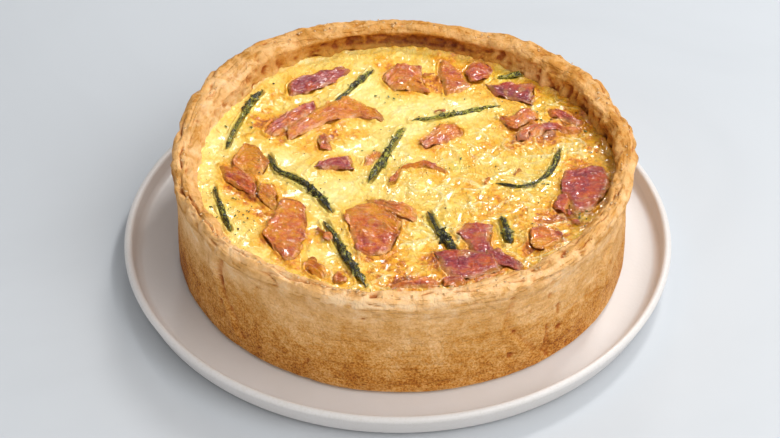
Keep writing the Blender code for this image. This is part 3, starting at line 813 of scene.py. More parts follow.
def make_pastry(settings):
    """Shortcrust baked pale on the cut rim, golden on the wall and freckled brown towards its foot, with painted
    shade in its creases, pits and seams.
    """
    material, graph, shader = begin_material("Baked shortcrust")
    place = graph.millimetres()
    rolled = graph.vector("rolled")
    mottling = mottling_group()
    broad = graph.shared(mottling, {"Vector": place, "Size": 26.0, "Low": 0.32, "High": 0.68})["Mask"]
    patches = graph.shared(mottling, {"Vector": place, "Size": 7.0, "Low": 0.35, "High": 0.66})["Mask"]
    freckles = graph.shared(mottling, {"Vector": place, "Size": 1.0, "Low": 0.36, "High": 0.68})["Mask"]
    flour = graph.shared(mottling, {"Vector": place, "Size": 0.8, "Low": 0.55, "High": 0.75})["Mask"]
    streaks = graph.noise(graph.stretch(rolled, (0.13, 0.13, 1.1)), 4.6, 3.0, 0.5, 0.5)

    base = graph.calc("MULTIPLY", graph.value("toast_and_shading"), settings.toasting)
    freckled = graph.times(graph.span(base, 0.2, 0.7, 0.10, 0.36), graph.value("grainy"))
    seam = graph.calc("ABSOLUTE", graph.calc("SUBTRACT", streaks, 0.5))
    # Painted shade: thin seams between the leaves of dough, also pressed in by a bump below, darken the colour.
    leaves = graph.times(graph.span(seam, 0.0, 0.06, 1.0, 0.0), graph.span(patches, 0.3, 0.8), graph.value("leafy"))
    wobble = graph.total(
        graph.times(graph.calc("SUBTRACT", broad, 0.5), 0.20),
        graph.times(graph.calc("SUBTRACT", patches, 0.5), 0.21),
        graph.times(graph.calc("SUBTRACT", freckles, 0.4), freckled),
        graph.times(graph.calc("SUBTRACT", streaks, 0.5), graph.span(graph.value("leafy"), 0.0, 0.9, 0.34, 0.50)),
        graph.times(leaves, 0.18),
        graph.times(flour, -0.10),
    )
    toast_and_shading = graph.calc("ADD", base, wobble, clamp=True)
    colour = graph.ramp(
        toast_and_shading,
        (
            (0.00, (0.93, 0.64, 0.36)),
            (0.20, (0.86, 0.50, 0.210)),
            (0.40, (0.72, 0.375, 0.115)),
            (0.62, (0.59, 0.250, 0.036)),
            (0.82, (0.42, 0.138, 0.010)),
            (1.00, (0.24, 0.060, 0.004)),
        ),
    )
    steeped = graph.times(graph.value("steeped"), graph.span(patches, 0.0, 1.0, 0.3, 0.75))
    colour = graph.blend(steeped, colour, (0.80, 0.50, 0.085, 1.0))
    # Painted shade: the colour is darkened, and turns warmer as it darkens, in the creases, slits and hollows of the
    # relief and on the inner wall at the back.
    shade = graph.span(graph.value("crease_shade"), 0.0, 1.0, 1.0, 0.26)
    parts = {k: graph.calc("POWER", shade, power) for k, power in enumerate((0.5, 1.0, 1.6))}
    warm = graph.add("ShaderNodeCombineColor", parts).outputs[0]
    colour = graph.blend(1.0, colour, warm, "MULTIPLY")
    # Painted shade: small dark specks stand for the shade inside tiny pits.
    pits = graph.shared(specks_group(), {"Vector": place, "Spacing": 9.0, "Radius": 0.5, "Share": 0.12})["Mask"]
    colour = graph.blend(graph.times(pits, 0.55), colour, (0.16, 0.055, 0.014, 1.0))

    crumb = graph.noise(place, 0.9, 4.0, 0.65)
    lumps = graph.noise(place, 3.4, 3.0, 0.55, 0.5)
    normal = graph.bump(lumps, 1.5 * settings.grain)
    normal = graph.bump(streaks, 1.3 * settings.grain, normal)
    normal = graph.bump(graph.calc("SUBTRACT", 1.0, leaves), 0.3 * settings.grain, normal)
    normal = graph.bump(crumb, 0.38 * settings.grain, normal)
    rough = graph.span(crumb, 0.3, 0.7, 0.5, 0.68)
    graph.wire(
        shader,
        {
            "Base Color": colour,
            "Roughness": rough,
            "Normal": normal,
            "Subsurface Weight": 0.06,
            "Subsurface Radius": (1.0, 0.45, 0.2),
            "Subsurface Scale": 0.003,
            "Specular IOR Level": 0.25,
        },
    )
    return material


def make_custard_material(settings):
    """Set custard under melted cheese: pale pools, golden strands and toasted orange-brown patches, with a painted
    highlight on the strand tops and a painted glow at the right-back rim.
    """
    material, graph, shader = begin_material("Cheese custard")
    place = graph.millimetres()
    mottling = mottling_group()
    brown = graph.calc("MULTIPLY", graph.value("brown"), settings.browning)
    strand = graph.value("strand")
    green = graph.value("green")
    curds = graph.shared(mottling, {"Vector": place, "Size": 9.0, "Low": 0.36, "High": 0.64})["Mask"]
    blisters = graph.shared(mottling, {"Vector": place, "Size": 4.0, "Low": 0.42, "High": 0.62})["Mask"]
    fine = graph.shared(mottling, {"Vector": place, "Size": 1.8, "Low": 0.38, "High": 0.66})["Mask"]

    stain = graph.value("stain")
    golden = graph.total(
        graph.times(brown, 0.60),
        graph.times(stain, 0.46),
        # Partly painted glow: richer gold at the custard's right-back edge.
        graph.times(graph.value("rich_and_glow"), 0.22),
        graph.times(curds, 0.12),
        # Paler along the strands, most on their tops: the pale cheese, and a painted highlight.
        graph.times(strand, -0.24),
        graph.times(graph.calc("SUBTRACT", blisters, 0.5), graph.total(graph.times(brown, 0.40), 0.06)),
        graph.times(graph.calc("SUBTRACT", fine, 0.5), graph.total(graph.times(brown, 0.18), 0.05)),
    )
    colour = graph.ramp(
        graph.calc("ADD", golden, 0.02, clamp=True),
        (
            (0.00, (0.96, 0.79, 0.30)),
            (0.14, (0.96, 0.70, 0.19)),
            (0.32, (0.94, 0.56, 0.080)),
            (0.52, (0.90, 0.42, 0.025)),
            (0.74, (0.70, 0.21, 0.012)),
            (1.00, (0.36, 0.08, 0.006)),
        ),
    )
    colour = graph.blend(graph.times(green, 0.55), colour, (0.60, 0.54, 0.035, 1.0))
    # Partly painted highlight: the tops of the cheese strands, and patches at the crust's edge, are blended towards
    # pale cream.
    pale = graph.calc("MULTIPLY", graph.value("whitish"), graph.span(fine, 0.2, 0.9, 0.4, 1.0), clamp=True)
    colour = graph.blend(graph.times(pale, 0.65), colour, (0.95, 0.90, 0.62, 1.0))
    pepper = graph.shared(specks_group(), {"Vector": place, "Spacing": 6.0, "Radius": 0.32, "Share": 0.22})["Mask"]
    colour = graph.blend(graph.times(pepper, 0.7), colour, (0.10, 0.05, 0.02, 1.0))

    film = graph.shared(film_group(), {"Vector": place, "Amount": settings.oil, "Dry roughness": 0.34})
    ripple = graph.noise(place, 6.5, 3.0, 0.5, 0.9)
    bubbles = graph.noise(place, 2.8, 3.0, 0.5, 0.6)
    wisps = graph.noise(place, 7.0, 2.0, 0.5, 2.2)
    wisps = graph.span(graph.calc("ABSOLUTE", graph.calc("SUBTRACT", wisps, 0.5)), 0.0, 0.05, 1.0, 0.0)
    normal = graph.bump(ripple, 1.4 * settings.relief)
    normal = graph.bump(graph.times(wisps, graph.value("rich_and_glow")), 0.35 * settings.relief, normal)
    normal = graph.bump(bubbles, 0.60 * settings.relief, normal)
    graph.wire(
        shader,
        {
            "Base Color": colour,
            "Roughness": film["Roughness"],
            "Normal": normal,
            "Coat Weight": film["Wet"],
            "Coat Roughness": 0.13,
            "Coat IOR": 1.75,
            "Specular IOR Level": 0.25,
            "Subsurface Weight": 0.15,
            "Subsurface Radius": (1.0, 0.65, 0.18),
            "Subsurface Scale": 0.003,
        },
    )
    return material


def make_ham_material(settings):
    """Thin cured ham, baked: amber and crisp where it dried, crimson to purple where it stayed moist."""
    material, graph, shader = begin_material("Baked cured ham")
    place = graph.millimetres()
    grain = graph.vector("grain")
    mottling = mottling_group()
    patches = graph.shared(mottling, {"Vector": place, "Size": 6.0, "Low": 0.34, "High": 0.66})["Mask"]
    fine = graph.shared(mottling, {"Vector": place, "Size": 1.4, "Low": 0.36, "High": 0.66})["Mask"]
    fibres = graph.noise(graph.stretch(grain, (0.35, 2.4, 1.0)), 1.9, 4.0, 0.62, 0.5)
    marbling = graph.span(graph.noise(graph.stretch(grain, (0.5, 1.3, 1.0)), 4.2, 3.0, 0.6, 1.4), 0.56, 0.72)

    unevenness = graph.total(
        graph.times(graph.calc("SUBTRACT", patches, 0.5), 0.38),
        graph.times(graph.calc("SUBTRACT", fine, 0.5), 0.16),
        graph.times(graph.calc("SUBTRACT", fibres, 0.5), 0.50),
        # Painted light and shade: the ham is cured paler on its fold ridges and darker in the valleys between them.
        graph.times(graph.value("fold"), -0.10),
    )
    steadier = graph.span(graph.value("cure"), 0.55, 0.95, 1.0, 0.5)
    cure = graph.calc("ADD", graph.value("cure"), graph.times(unevenness, steadier))
    cured = graph.calc("MINIMUM", graph.calc("MAXIMUM", cure, 0.0), 1.0)
    colour = graph.ramp(
        cured,
        (
            (0.00, (0.76, 0.29, 0.010)),
            (0.25, (0.72, 0.20, 0.014)),
            (0.48, (0.62, 0.125, 0.018)),
            (0.68, (0.48, 0.060, 0.032)),
            (0.84, (0.34, 0.032, 0.038)),
            (1.00, (0.21, 0.020, 0.040)),
        ),
    )
    fat = graph.blend(cured, (0.88, 0.46, 0.12, 1.0), (0.74, 0.30, 0.26, 1.0))
    colour = graph.blend(graph.times(marbling, 0.55), colour, fat)
    threads = graph.span(graph.noise(graph.stretch(grain, (0.16, 2.6, 1.0)), 1.3, 2.0, 0.5, 0.8), 0.60, 0.72)
    colour = graph.blend(graph.times(threads, 0.45), colour, (0.86, 0.50, 0.30, 1.0))
    crisp = graph.calc("MULTIPLY", graph.value("edge"), graph.span(fine, 0.1, 0.8, 0.4, 1.0), clamp=True)
    colour = graph.blend(graph.times(crisp, 0.75 * settings.crisping), colour, (0.34, 0.080, 0.008, 1.0))
    veil = graph.times(graph.value("veil"), graph.span(patches, 0.0, 1.0, 0.5, 1.0))
    colour = graph.blend(graph.times(veil, 0.6), colour, (0.90, 0.52, 0.085, 1.0))
    film = graph.shared(film_group(), {"Vector": place, "Amount": settings.gloss, "Dry roughness": 0.40})
    normal = graph.bump(fibres, 0.9)
    normal = graph.bump(graph.noise(place, 5.0, 3.0, 0.5, 0.9), 1.6, normal)
    normal = graph.bump(threads, 0.12, normal)
    graph.wire(
        shader,
        {
            "Base Color": colour,
            "Roughness": film["Roughness"],
            "Normal": normal,
            "Coat Weight": film["Wet"],
            "Coat Roughness": 0.16,
            "Coat IOR": 1.7,
            "Specular IOR Level": 0.3,
            "Subsurface Weight": 0.12,
            "Subsurface Radius": (1.0, 0.30, 0.12),
            "Subsurface Scale": 0.0025,
        },
    )
    return material


def make_asparagus_material(settings):
    """Roasted asparagus: olive stems, nearly black ridges and buds, with a thin gloss of oil."""
    material, graph, shader = begin_material("Roasted asparagus")
    place = graph.millimetres()
    mottling = mottling_group()
    rolled = graph.vector("grain")
    scorch = graph.shared(mottling, {"Vector": place, "Size": 3.0, "Low": 0.36, "High": 0.62})["Mask"]
    fine = graph.shared(mottling, {"Vector": place, "Size": 0.8, "Low": 0.38, "High": 0.64})["Mask"]
    ribs = graph.noise(graph.stretch(rolled, (0.25, 2.2, 1.0)), 1.3, 3.0, 0.6, 0.3)
    fresh = graph.total(
        graph.times(graph.value("fresh"), 0.70),
        0.16,
        # Partly painted highlight and shade: scale tips are lighter and their bases darker.
        graph.times(graph.value("crown"), 0.60),
        graph.times(graph.calc("SUBTRACT", scorch, 0.5), -0.50),
        graph.times(graph.calc("SUBTRACT", fine, 0.5), 0.80),
        graph.times(graph.calc("SUBTRACT", ribs, 0.5), 1.3),
    )
    colour = graph.ramp(
        graph.calc("ADD", fresh, 0.0, clamp=True),
        (
            (0.00, (0.008, 0.007, 0.002)),
            (0.22, (0.030, 0.026, 0.002)),
            (0.45, (0.130, 0.118, 0.006)),
            (0.70, (0.300, 0.285, 0.018)),
            (1.00, (0.560, 0.530, 0.080)),
        ),
    )
    colour = graph.blend(graph.value("cheesed"), colour, (0.86, 0.74, 0.30, 1.0))
    film = graph.shared(film_group(), {"Vector": place, "Amount": settings.gloss, "Dry roughness": 0.5})
    normal = graph.bump(ribs, 1.0)
    normal = graph.bump(graph.noise(place, 1.2, 4.0, 0.65, 0.5), 1.3, normal)
    graph.wire(
        shader,
        {
            "Base Color": colour,
            "Roughness": film["Roughness"],
            "Normal": normal,
            "Coat Weight": film["Wet"],
            "Coat Roughness": 0.10,
            "Coat IOR": 1.7,
            "Specular IOR Level": 0.3,
        },
    )
    return material


def make_glaze(settings):
    """Matt off-white stoneware glaze, faintly warm, with pin holes and a drier band along its outer edge."""
    material, graph, shader = begin_material("Matt stoneware glaze")
    place = graph.millimetres()
    mottling = mottling_group()
    cloud = graph.shared(mottling, {"Vector": place, "Size": 45.0, "Low": 0.3, "High": 0.7})["Mask"]
    fine = graph.shared(mottling, {"Vector": place, "Size": 1.3, "Low": 0.3, "High": 0.7})["Mask"]
    tint = tuple(settings.tint)
    colour = graph.blend(cloud, (*tint, 1.0), (tint[0] * 0.97, tint[1] * 0.965, tint[2] * 0.95, 1.0))
    scuffs = graph.times(graph.value("edge"), graph.span(fine, 0.45, 0.9))
    colour = graph.blend(graph.times(scuffs, 0.5), colour, (0.62, 0.59, 0.55, 1.0))
    pins = graph.shared(specks_group(), {"Vector": place, "Spacing": 14.0, "Radius": 0.45, "Share": 0.14})["Mask"]
    colour = graph.blend(graph.times(pins, 0.5), colour, (0.34, 0.27, 0.22, 1.0))
    rough = graph.span(fine, 0.0, 1.0, 0.40, 0.52)
    normal = graph.bump(graph.noise(place, 1.6, 3.0, 0.5), 0.05)
    normal = graph.bump(graph.noise(place, 16.0, 2.0, 0.5), 0.25, normal)
    graph.wire(shader, {"Base Color": colour, "Roughness": rough, "Normal": normal, "Coat Weight": 0.12})
    return material


def make_simple(name, dark, light, size, roughness, depth, coat=0.0):
    """A plain two-tone material with a fine grain, for small bits."""
    material, graph, shader = begin_material(name)
    place = graph.millimetres()
    mask = graph.shared(mottling_group(), {"Vector": place, "Size": size, "Low": 0.35, "High": 0.65})["Mask"]
    colour = graph.blend(mask, (*dark, 1.0), (*light, 1.0))
    normal = graph.bump(graph.noise(place, size * 0.6, 3.0, 0.6), depth)
    rough = graph.span(mask, 0.0, 1.0, roughness, roughness * 0.8)
    graph.wire(shader, {"Base Color": colour, "Roughness": rough, "Normal": normal, "Coat Weight": coat})
    return material


# ---------------------------------------------------------------- plate


def arc(centre, radius, start, end, steps):
    """Points of a circle's arc: centre plus radius times cosine and sine, from start to end in degrees."""
    turn = np.radians(np.linspace(start, end, steps + 1))
    return [(centre[0] + radius * math.cos(t), centre[1] + radius * math.sin(t)) for t in turn]


def plate_profile():
    """The plate's section (radius, height) from its underside, round the foot, up the side, over the rim's
    rounded crest and down its fillet to the flat floor."""
    crest = (PLATE_RADIUS - 2.1, 13.4)
    heel = (PLATE_RADIUS - 7.6, 5.2)
    fillet = (PLATE_RADIUS - 5.2 - 4.5, 10.5)
    foot = [(2, 1.2), (60, 1.2), (109.2, 1.2), (110.2, 1.0), (111.6, 0.2), (112.6, 0)]
    foot += [(118, 0), (123.2, 0), (124.2, 0.15)]
    side = arc(heel, 4.0, -80, -12, 10) + arc(crest, 2.1, -5, 180, 22)
    floor = arc(fillet, 4.5, 0, -90, 12) + [(r, 6.0) for r in (122, 112, 98, 80, 60, 40, 20, 2)]
    return np.array(foot + side + floor)


def build_plate(settings):
    """A turned form: each profile point (r, z) is carried round to (r cos t, r sin t, z), with r wavering by a
    few hundredths of a millimetre as on a wheel-thrown plate."""
    turns = 256
    profile = plate_profile()
    angle = np.arange(turns) * math.tau / turns
    radius, height = profile[:, :1], profile[:, 1:]
    around = flat_points(60 * np.cos(angle), 60 * np.sin(angle))[None, :, :] + profile[:, None, [0, 1, 1]] * 0.2
    waver = settings.waver / MM * soft_noise(around, 22.0, 5) * ease(20, 120, radius)
    r = np.minimum(radius + waver - 0.06, PLATE_RADIUS)
    grid = np.stack((r * np.cos(angle), r * np.sin(angle), height + 0 * r), axis=-1)
    quads, triangles = turned_faces(len(profile), turns)
    points = np.concatenate((grid.reshape(-1, 3), ((0, 0, 1.2), (0, 0, 6.0))))
    outer = ease(PLATE_RADIUS - 4.5, PLATE_RADIUS - 1.5, r) * ease(3.0, 8.0, height)
    edge = np.concatenate((outer.ravel(), (0, 0)))
    place = np.zeros(3)
    piece = make_piece(
        "plate_surface", points, quads, triangles, make_glaze(settings), {"edge": edge}, place
    )
    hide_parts("plate")


# ---------------------------------------------------------------- crust


def inner_radius(angle):
    return RIM_INNER + wander(angle, INNER_WANDER)


def crust_sections(angle):
    """The crust's section (radius, height) at every angle, point by point from the middle of its underside,
    out and up the wall, over the rim and down inside."""
    lip = TIN_RADIUS + RIM_OVERHANG + wander(angle, LIP_WANDER)
    flare = lip - WAIST_RADIUS
    top = CRUST_HEIGHT + wander(angle, TOP_WANDER)
    inner = inner_radius(angle)
    cup = inner + 0.4
    mouth = (inner + RIM_INNER) / 2 + 0.8
    points = (
        (3.0, 0.0),
        (TIN_RADIUS - 2.5, 0.0),
        (TIN_RADIUS, 1.2),
        (TIN_RADIUS - 0.4, 12.0),
        (WAIST_RADIUS, 30.0),
        (WAIST_RADIUS + 0.1 * flare, 46.0),
        (lip - 0.45 * flare, 51.0),
        (lip, 54.5),
        (lip - 0.8, top - 1.8),
        (lip - 3.4, top),
        (mouth + 2.6, top - 0.3),
        (mouth + 0.3, top - 2.2),
        (mouth - 0.4, top - 5.0),
        (cup, 50.5),
        (cup, 44.0),
        (cup, BASE_THICKNESS + 5.5),
        (cup - 5.5, BASE_THICKNESS),
        (3.0, BASE_THICKNESS),
    )
    return np.array([[np.broadcast_to(value, angle.shape) for value in pair] for pair in points]).swapaxes(1, 2)


def smooth_path(points, spans, passes=3):
    """Evenly divided straight spans between the points, then rounded by repeated one-two-one averaging."""
    parts = []
    for k, count in enumerate(spans):
        share = (np.arange(count) / count)[:, None, None]
        parts.append(points[k] * (1 - share) + points[k + 1] * share)
    path = np.concatenate((*parts, points[-1:]))
    for _ in range(passes):
        path[1:-1] = 0.25 * path[:-2] + 0.5 * path[1:-1] + 0.25 * path[2:]
    return path


def near_angle(angle, degrees, spread):
    """A bell round one direction: e to the minus square of the angle between, over its spread in degrees."""
    apart = (np.degrees(angle) - degrees + 180) % 360 - 180
    return np.exp(-((apart / spread) ** 2))


def wall_relief(angle, rolled, height):
    """How far the wall stands out: slow waves, lumps, a few pressed folds of dough and thin level cracks."""
    waves = 0.75 * layered_noise(rolled * (1, 1, 0.7), 30.0, 2, 11)
    lumps = 0.42 * layered_noise(rolled, 11.0, 3, 12)
    fine = 0.16 * layered_noise(rolled, 3.2, 3, 13)
    cracked = layered_noise(rolled * (0.16, 0.16, 1.0), 3.0, 3, 14)
    cracks = 0.55 * ease(0.30, 0.62, cracked) * ease(0.0, 0.5, layered_noise(rolled, 24.0, 2, 15) + 0.15)
    pits = 1.1 * ease(0.50, 0.74, soft_noise(rolled, 4.6, 16)) * ease(0.1, 0.6, soft_noise(rolled, 18.0, 17))
    seams = np.zeros(height.shape)
    for top_angle, low_angle, size in ((-25, -38, 2.2), (-143, -135, 1.9), (-68, -60, 0.8), (96, 90, 1.6), (20, 30, 1.4)):
        lean = low_angle + (top_angle - low_angle) * (height / 52.0) + 2.0 * np.sin(height / 7.0)
        band = ease(4, 14, height) * ease(56, 44, height)
        seams += size * band * (near_angle(angle, lean, 1.6) - 0.9 * near_angle(angle, lean + 2.6, 1.2))
    flutes = 0.5 * ease(36, 50, height) * layered_noise(rolled * (1, 1, 0.25), 6.5, 2, 18)
    return waves + lumps + fine - cracks - pits + seams * (0.6 + 0.6 * soft_noise(rolled, 7.0, 19)) + flutes


def rim_relief(angle, rolled, across):
    """How far the cut rim stands out: leaves of dough running round it, raised and split at their edges, with
    looser wrinkled swirls where the dough was folded at the back and left."""
    swirled = rolled + 2.6 * np.stack([soft_noise(rolled, 8.0, seed) for seed in (31, 32, 33)], axis=-1)
    leaves = layered_noise(swirled * (0.16, 0.16, 1.0), 3.6, 2, 34)
    split = ease(-0.1, 0.4, layered_noise(rolled, 13.0, 2, 38))
    sheets = 0.9 * leaves - 1.0 * split * np.exp(-((leaves / 0.11) ** 2))
    wrinkled = layered_noise(swirled * (0.42, 0.42, 0.8), 6.0, 2, 35)
    wrinkles = 0.8 * (1 - np.abs(wrinkled) * 2.0) - 0.8 * split * np.exp(-((wrinkled / 0.12) ** 2))
    folded = np.clip(near_angle(angle, 145, 62) + near_angle(angle, 195, 30) + near_angle(angle, 30, 35), 0, 1)
    lumps = 1.5 * layered_noise(rolled, 16.0, 2, 36)
    ragged = 0.30 * layered_noise(rolled, 3.4, 2, 37)
    rumples = 1.5 * crumpled(rolled * (0.42, 0.42, 0.8), 6.5, 3, 60) - 0.4
    relief = sheets * (1 - 0.5 * folded) + wrinkles * folded * 0.5 + lumps + ragged
    relief += rumples * (0.28 + 0.50 * folded) + 0.6 * rumples * ease(0.5, 1.0, across)
    for degrees, share, length, width, depth in RIM_SLITS:
        along = ((np.degrees(angle) - degrees + 180) % 360 - 180) * math.pi / 180 * 110
        wavering = (across - share) * 9.0 + 0.7 * np.sin(along / 2.7 + degrees)
        relief -= 1.35 * depth * np.exp(-((along / length * 2) ** 4)) * np.exp(-((wavering / (1.5 * width)) ** 2))
    return relief


def build_crust(settings):
    """A section that changes with the angle is carried round once and pushed out along its normal by a relief of
    leaves, folds, cracks and pits; how toasted it is, with painted shade and light on some sides, and the painted
    shade of its creases are kept at its points."""
    angle = np.arange(CRUST_TURNS) * math.tau / CRUST_TURNS
    path = smooth_path(crust_sections(angle), CRUST_SPANS)
    radius, height = path[..., 0], path[..., 1]
    length = np.concatenate(
        (np.zeros((1, CRUST_TURNS)), np.cumsum(np.hypot(np.diff(radius, axis=0), np.diff(height, axis=0)), axis=0))
    )
    length = length.mean(axis=1, keepdims=True) + 0 * radius
    rolled = np.stack((TIN_RADIUS * np.cos(angle) + 0 * radius, TIN_RADIUS * np.sin(angle) + 0 * radius, length), axis=-1)
    grid = np.stack((radius * np.cos(angle), radius * np.sin(angle), height), axis=-1)
    normals = grid_normals(grid, wrap=True)
    facing = np.sign(normals[40, :, 0] * np.cos(angle) + normals[40, :, 1] * np.sin(angle))
    normals = normals * facing[None, :, None]

    starts = np.cumsum((0, *CRUST_SPANS))
    row = np.arange(len(path))[:, None] + 0 * radius
    wall = ease(starts[1], starts[2] + 2, row) * ease(starts[7] + 2, starts[6], row)
    rim = ease(starts[6], starts[7], row) * ease(starts[12] + 2, starts[11], row)
    lining = ease(starts[11], starts[12] + 2, row) * ease(starts[14] + 1, starts[14] - 1, row)
    across = np.clip((row - starts[8]) / (starts[11] - starts[8]), 0, 1)

    outside = wall_relief(angle + 0 * radius, rolled, height)
    on_rim = rim_relief(angle + 0 * radius, rolled, across)
    bumps = 1.3 * layered_noise(rolled, 9.0, 3, 21) - 0.9 * ease(0.25, 0.6, soft_noise(rolled, 5.0, 22))
    hollows = 2.2 * ease(0.2, 0.7, layered_noise(rolled * (0.5, 0.5, 1.0), 9.0, 2, 23))
    inside = (bumps - hollows * near_angle(angle, 95, 60)) * 0.6 + 1.7 * crumpled(rolled * (0.7, 0.7, 1), 7.0, 3, 70)
    inside += 2.4 * near_angle(angle, 32, 26) * (crumpled(rolled * (1, 1, 0.45), 7.0, 3, 80) + 0.2)
    inside -= 0.5 + 2.6 * near_angle(angle, 88, 40) * ease(49.5, 51.5, height)
    relief = settings.relief * (wall * outside + rim * on_rim + lining * inside)
    thickened = 3.6 * near_angle(angle, 160, 42) * ease(starts[10], starts[12], row) * (row > starts[9])
    relief = relief + settings.relief * thickened
    relief = np.where(row < starts[1], 0, relief)
    grid = grid + normals * relief[..., None]
    ragged = rim * (0.35 * layered_noise(rolled * (1, 1, 0.2), 4.0, 3, 24) + 0.25 * soft_noise(rolled, 14.0, 25))
    grid[..., 2] += settings.relief * ragged - 0.45 * rim
    grid[..., 2] = np.clip(grid[..., 2], 0.0, CRUST_TOP - 0.02)

    # Painted shade and light on the left, the side away from the main lamp: the wall is darker low down and paler
    # near its top, and the rim is darker.
    left = near_angle(angle, 190, 50)
    foot = ease(44, 4, height) * 0.26 + ease(7, 0, height) * 0.04
    toast_and_shading = wall * (0.36 + foot + 0.14 * left * ease(46, 26, height) - (0.10 + 0.08 * left) * ease(36, 52, height))
    toast_and_shading += rim * (0.14 + 0.26 * near_angle(angle, 100, 85) + 0.16 * near_angle(angle, 190, 34) + 0.06 * across)
    toast_and_shading += rim * (0.20 * near_angle(angle, 8, 42) + 0.09 * near_angle(angle, -80, 45) + 0.12 * np.clip(0.5 * on_rim, -0.5, 1))
    # Painted shade: the lining is darker at the back, under the rim's overhang, and at the right, under the rim.
    # Painted light: it is paler at the right-back.
    toast_and_shading += lining * (0.34 + 0.60 * near_angle(angle, 86, 42) + 0.46 * near_angle(angle, 10, 35) - 0.30 * near_angle(angle, 158, 30))
    toast_and_shading -= lining * 0.32 * near_angle(angle, 42, 22) + rim * 0.26 * near_angle(angle, 156, 28) * ease(0.2, 0.7, across)
    toast_and_shading = np.where(row <= starts[1], 0.75, toast_and_shading)
    # Painted shade: how far a point lies below its neighbours' relief, plus a share on the inner wall at the back,
    # darkens the pastry there.
    depth = relief - sum(np.roll(relief, k, axis=1) for k in (-5, -3, -1, 1, 3, 5)) / 6
    depth += relief - np.apply_along_axis(lambda column: np.convolve(column, np.ones(7) / 7, "same"), 0, relief)
    crease_shade = np.clip(-0.65 * depth, 0, 1) + lining * near_angle(angle, 95, 70) * 0.18

    quads, triangles = turned_faces(*radius.shape)
    points = np.concatenate((grid.reshape(-1, 3), ((0, 0, 0), (0, 0, BASE_THICKNESS))))
    # Painted shade: the custard-soaked yellow is held back on the inner wall from the right round to the back, so
    # that it stays dark there.
    steeped = lining * ease(54.5, 50.0, height) * (1 - 0.9 * near_angle(angle, 50, 75)) * (1 - 0.7 * near_angle(angle, 158, 32))
    leafy = rim * 0.9 + wall * 0.35 * ease(40, 52, height)
    values = {
        "toast_and_shading": np.concatenate((toast_and_shading.ravel(), (0.75, 0.6))),
        "crease_shade": np.concatenate((crease_shade.ravel(), (0.0, 0.0))),
        "leafy": np.concatenate((leafy.ravel(), (0.0, 0.0))),
        "steeped": np.concatenate((steeped.ravel(), (0.0, 0.0))),
        "grainy": np.concatenate(((wall + 0.2).ravel(), (0.0, 0.0))),
        "rolled": np.concatenate((rolled.reshape(-1, 3), ((0, 0, 0), (0, 0, 300)))),
    }
    piece = make_piece("crust_surface", points, quads, triangles, make_pastry(settings), values)
    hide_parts("crust")


# ---------------------------------------------------------------- custard


def cheese_strands(settings):
    """Heights of grated cheese strands melted over the custard, on a square raster: each strand is an arc whose
    height falls off as e to the minus square of the distance to it over its half width."""
    cell, reach = 0.4, 106.0
    size = int(2 * reach / cell) + 1
    raster = np.zeros((size, size))
    random = np.random.default_rng(settings.seed)
    window = np.arange(-32, 33)
    for _ in range(settings.strands):
        distance, turn = 100 * math.sqrt(random.random()), random.random() * math.tau
        x, y = distance * math.cos(turn), distance * math.sin(turn)
        if random.random() < 0.75 * spots(x, y, [(*pool, 1.0) for pool in PALE_POOLS]) + 0.35 * (x < -10):
            continue
        length, width = random.uniform(8, 22), random.uniform(0.55, 0.95)
        heading, bend = random.random() * math.tau, random.normal(0, 0.07)
        steps = np.linspace(-0.5, 0.5, 22) * length
        headings = heading + bend * steps
        path_x = x + steps * np.cos(headings)
        path_y = y + steps * np.sin(headings)
        column, row = int((x + reach) / cell), int((y + reach) / cell)
        columns, rows = np.clip(column + window, 0, size - 1), np.clip(row + window, 0, size - 1)
        away_x = (columns * cell - reach)[None, :, None] - path_x
        away_y = (rows * cell - reach)[:, None, None] - path_y
        squared = (away_x**2 + away_y**2) / width**2
        tall = random.uniform(0.5, 1.0) * np.exp(-((steps / length * 2.1) ** 4))
        ridge = (tall * np.exp(-squared)).max(axis=2)
        patch = np.ix_(rows, columns)
        raster[patch] = np.maximum(raster[patch], ridge + 0.25 * raster[patch] * (ridge > 0.2))
    return raster, cell, reach


def sample(raster, cell, reach, x, y):
    """The raster's value at each point, weighted by distance from its four nearest cells."""
    u, v = (x + reach) / cell, (y + reach) / cell
    i = np.clip(u.astype(int), 0, raster.shape[1] - 2)
    j = np.clip(v.astype(int), 0, raster.shape[0] - 2)
    s, t = np.clip(u - i, 0, 1), np.clip(v - j, 0, 1)
    low = raster[j, i] * (1 - s) + raster[j, i + 1] * s
    high = raster[j + 1, i] * (1 - s) + raster[j + 1, i + 1] * s
    return low * (1 - t) + high * t


def blurred(raster, spread):
    """The raster averaged over a round bell: its transform is multiplied by the bell's own transform."""
    rows, columns = np.fft.fftfreq(raster.shape[0]), np.fft.rfftfreq(raster.shape[1])
    bell = np.exp(-2 * (math.pi * spread) ** 2 * (rows[:, None] ** 2 + columns[None, :] ** 2))
    return np.fft.irfft2(np.fft.rfft2(raster) * bell, raster.shape)


def covered(outlines, cell, reach):
    """A raster that is 1 wherever one of the point clouds covers it."""
    size = int(2 * reach / cell) + 1
    raster = np.zeros((size, size))
    for cloud in outlines:
        column = np.clip(((cloud[..., 0] + reach) / cell).astype(int), 0, size - 1)
        row = np.clip(((cloud[..., 1] + reach) / cell).astype(int), 0, size - 1)
        raster[row, column] = 1.0
    return np.clip(blurred(raster, 0.7) * 1.6, 0, 1)


def ham_outlines():
    """Where each slice of ham lies, as a cloud of points."""
    clouds = []
    for lattice, _, _, _ in HAM.values():
        lattice = np.array(lattice, float)[..., :2]
        down, along = spline_weights(lattice.shape[0], 60), spline_weights(lattice.shape[1], 80)
        clouds.append(np.einsum("ri,ijk,cj->rck", down, lattice, along))
    return clouds


def spear_outlines():
    """Where each spear lies, as a cloud of points."""
    clouds = []
    for points, stem, bud, _ in SPEARS.values():
        path, across = spear_path(points, 160)
        offsets = np.linspace(-0.5, 0.5, 9)[None, :, None] * (stem + bud) / 2
        clouds.append(path[:, None, :] + across[:, None, :] * offsets)
    return clouds


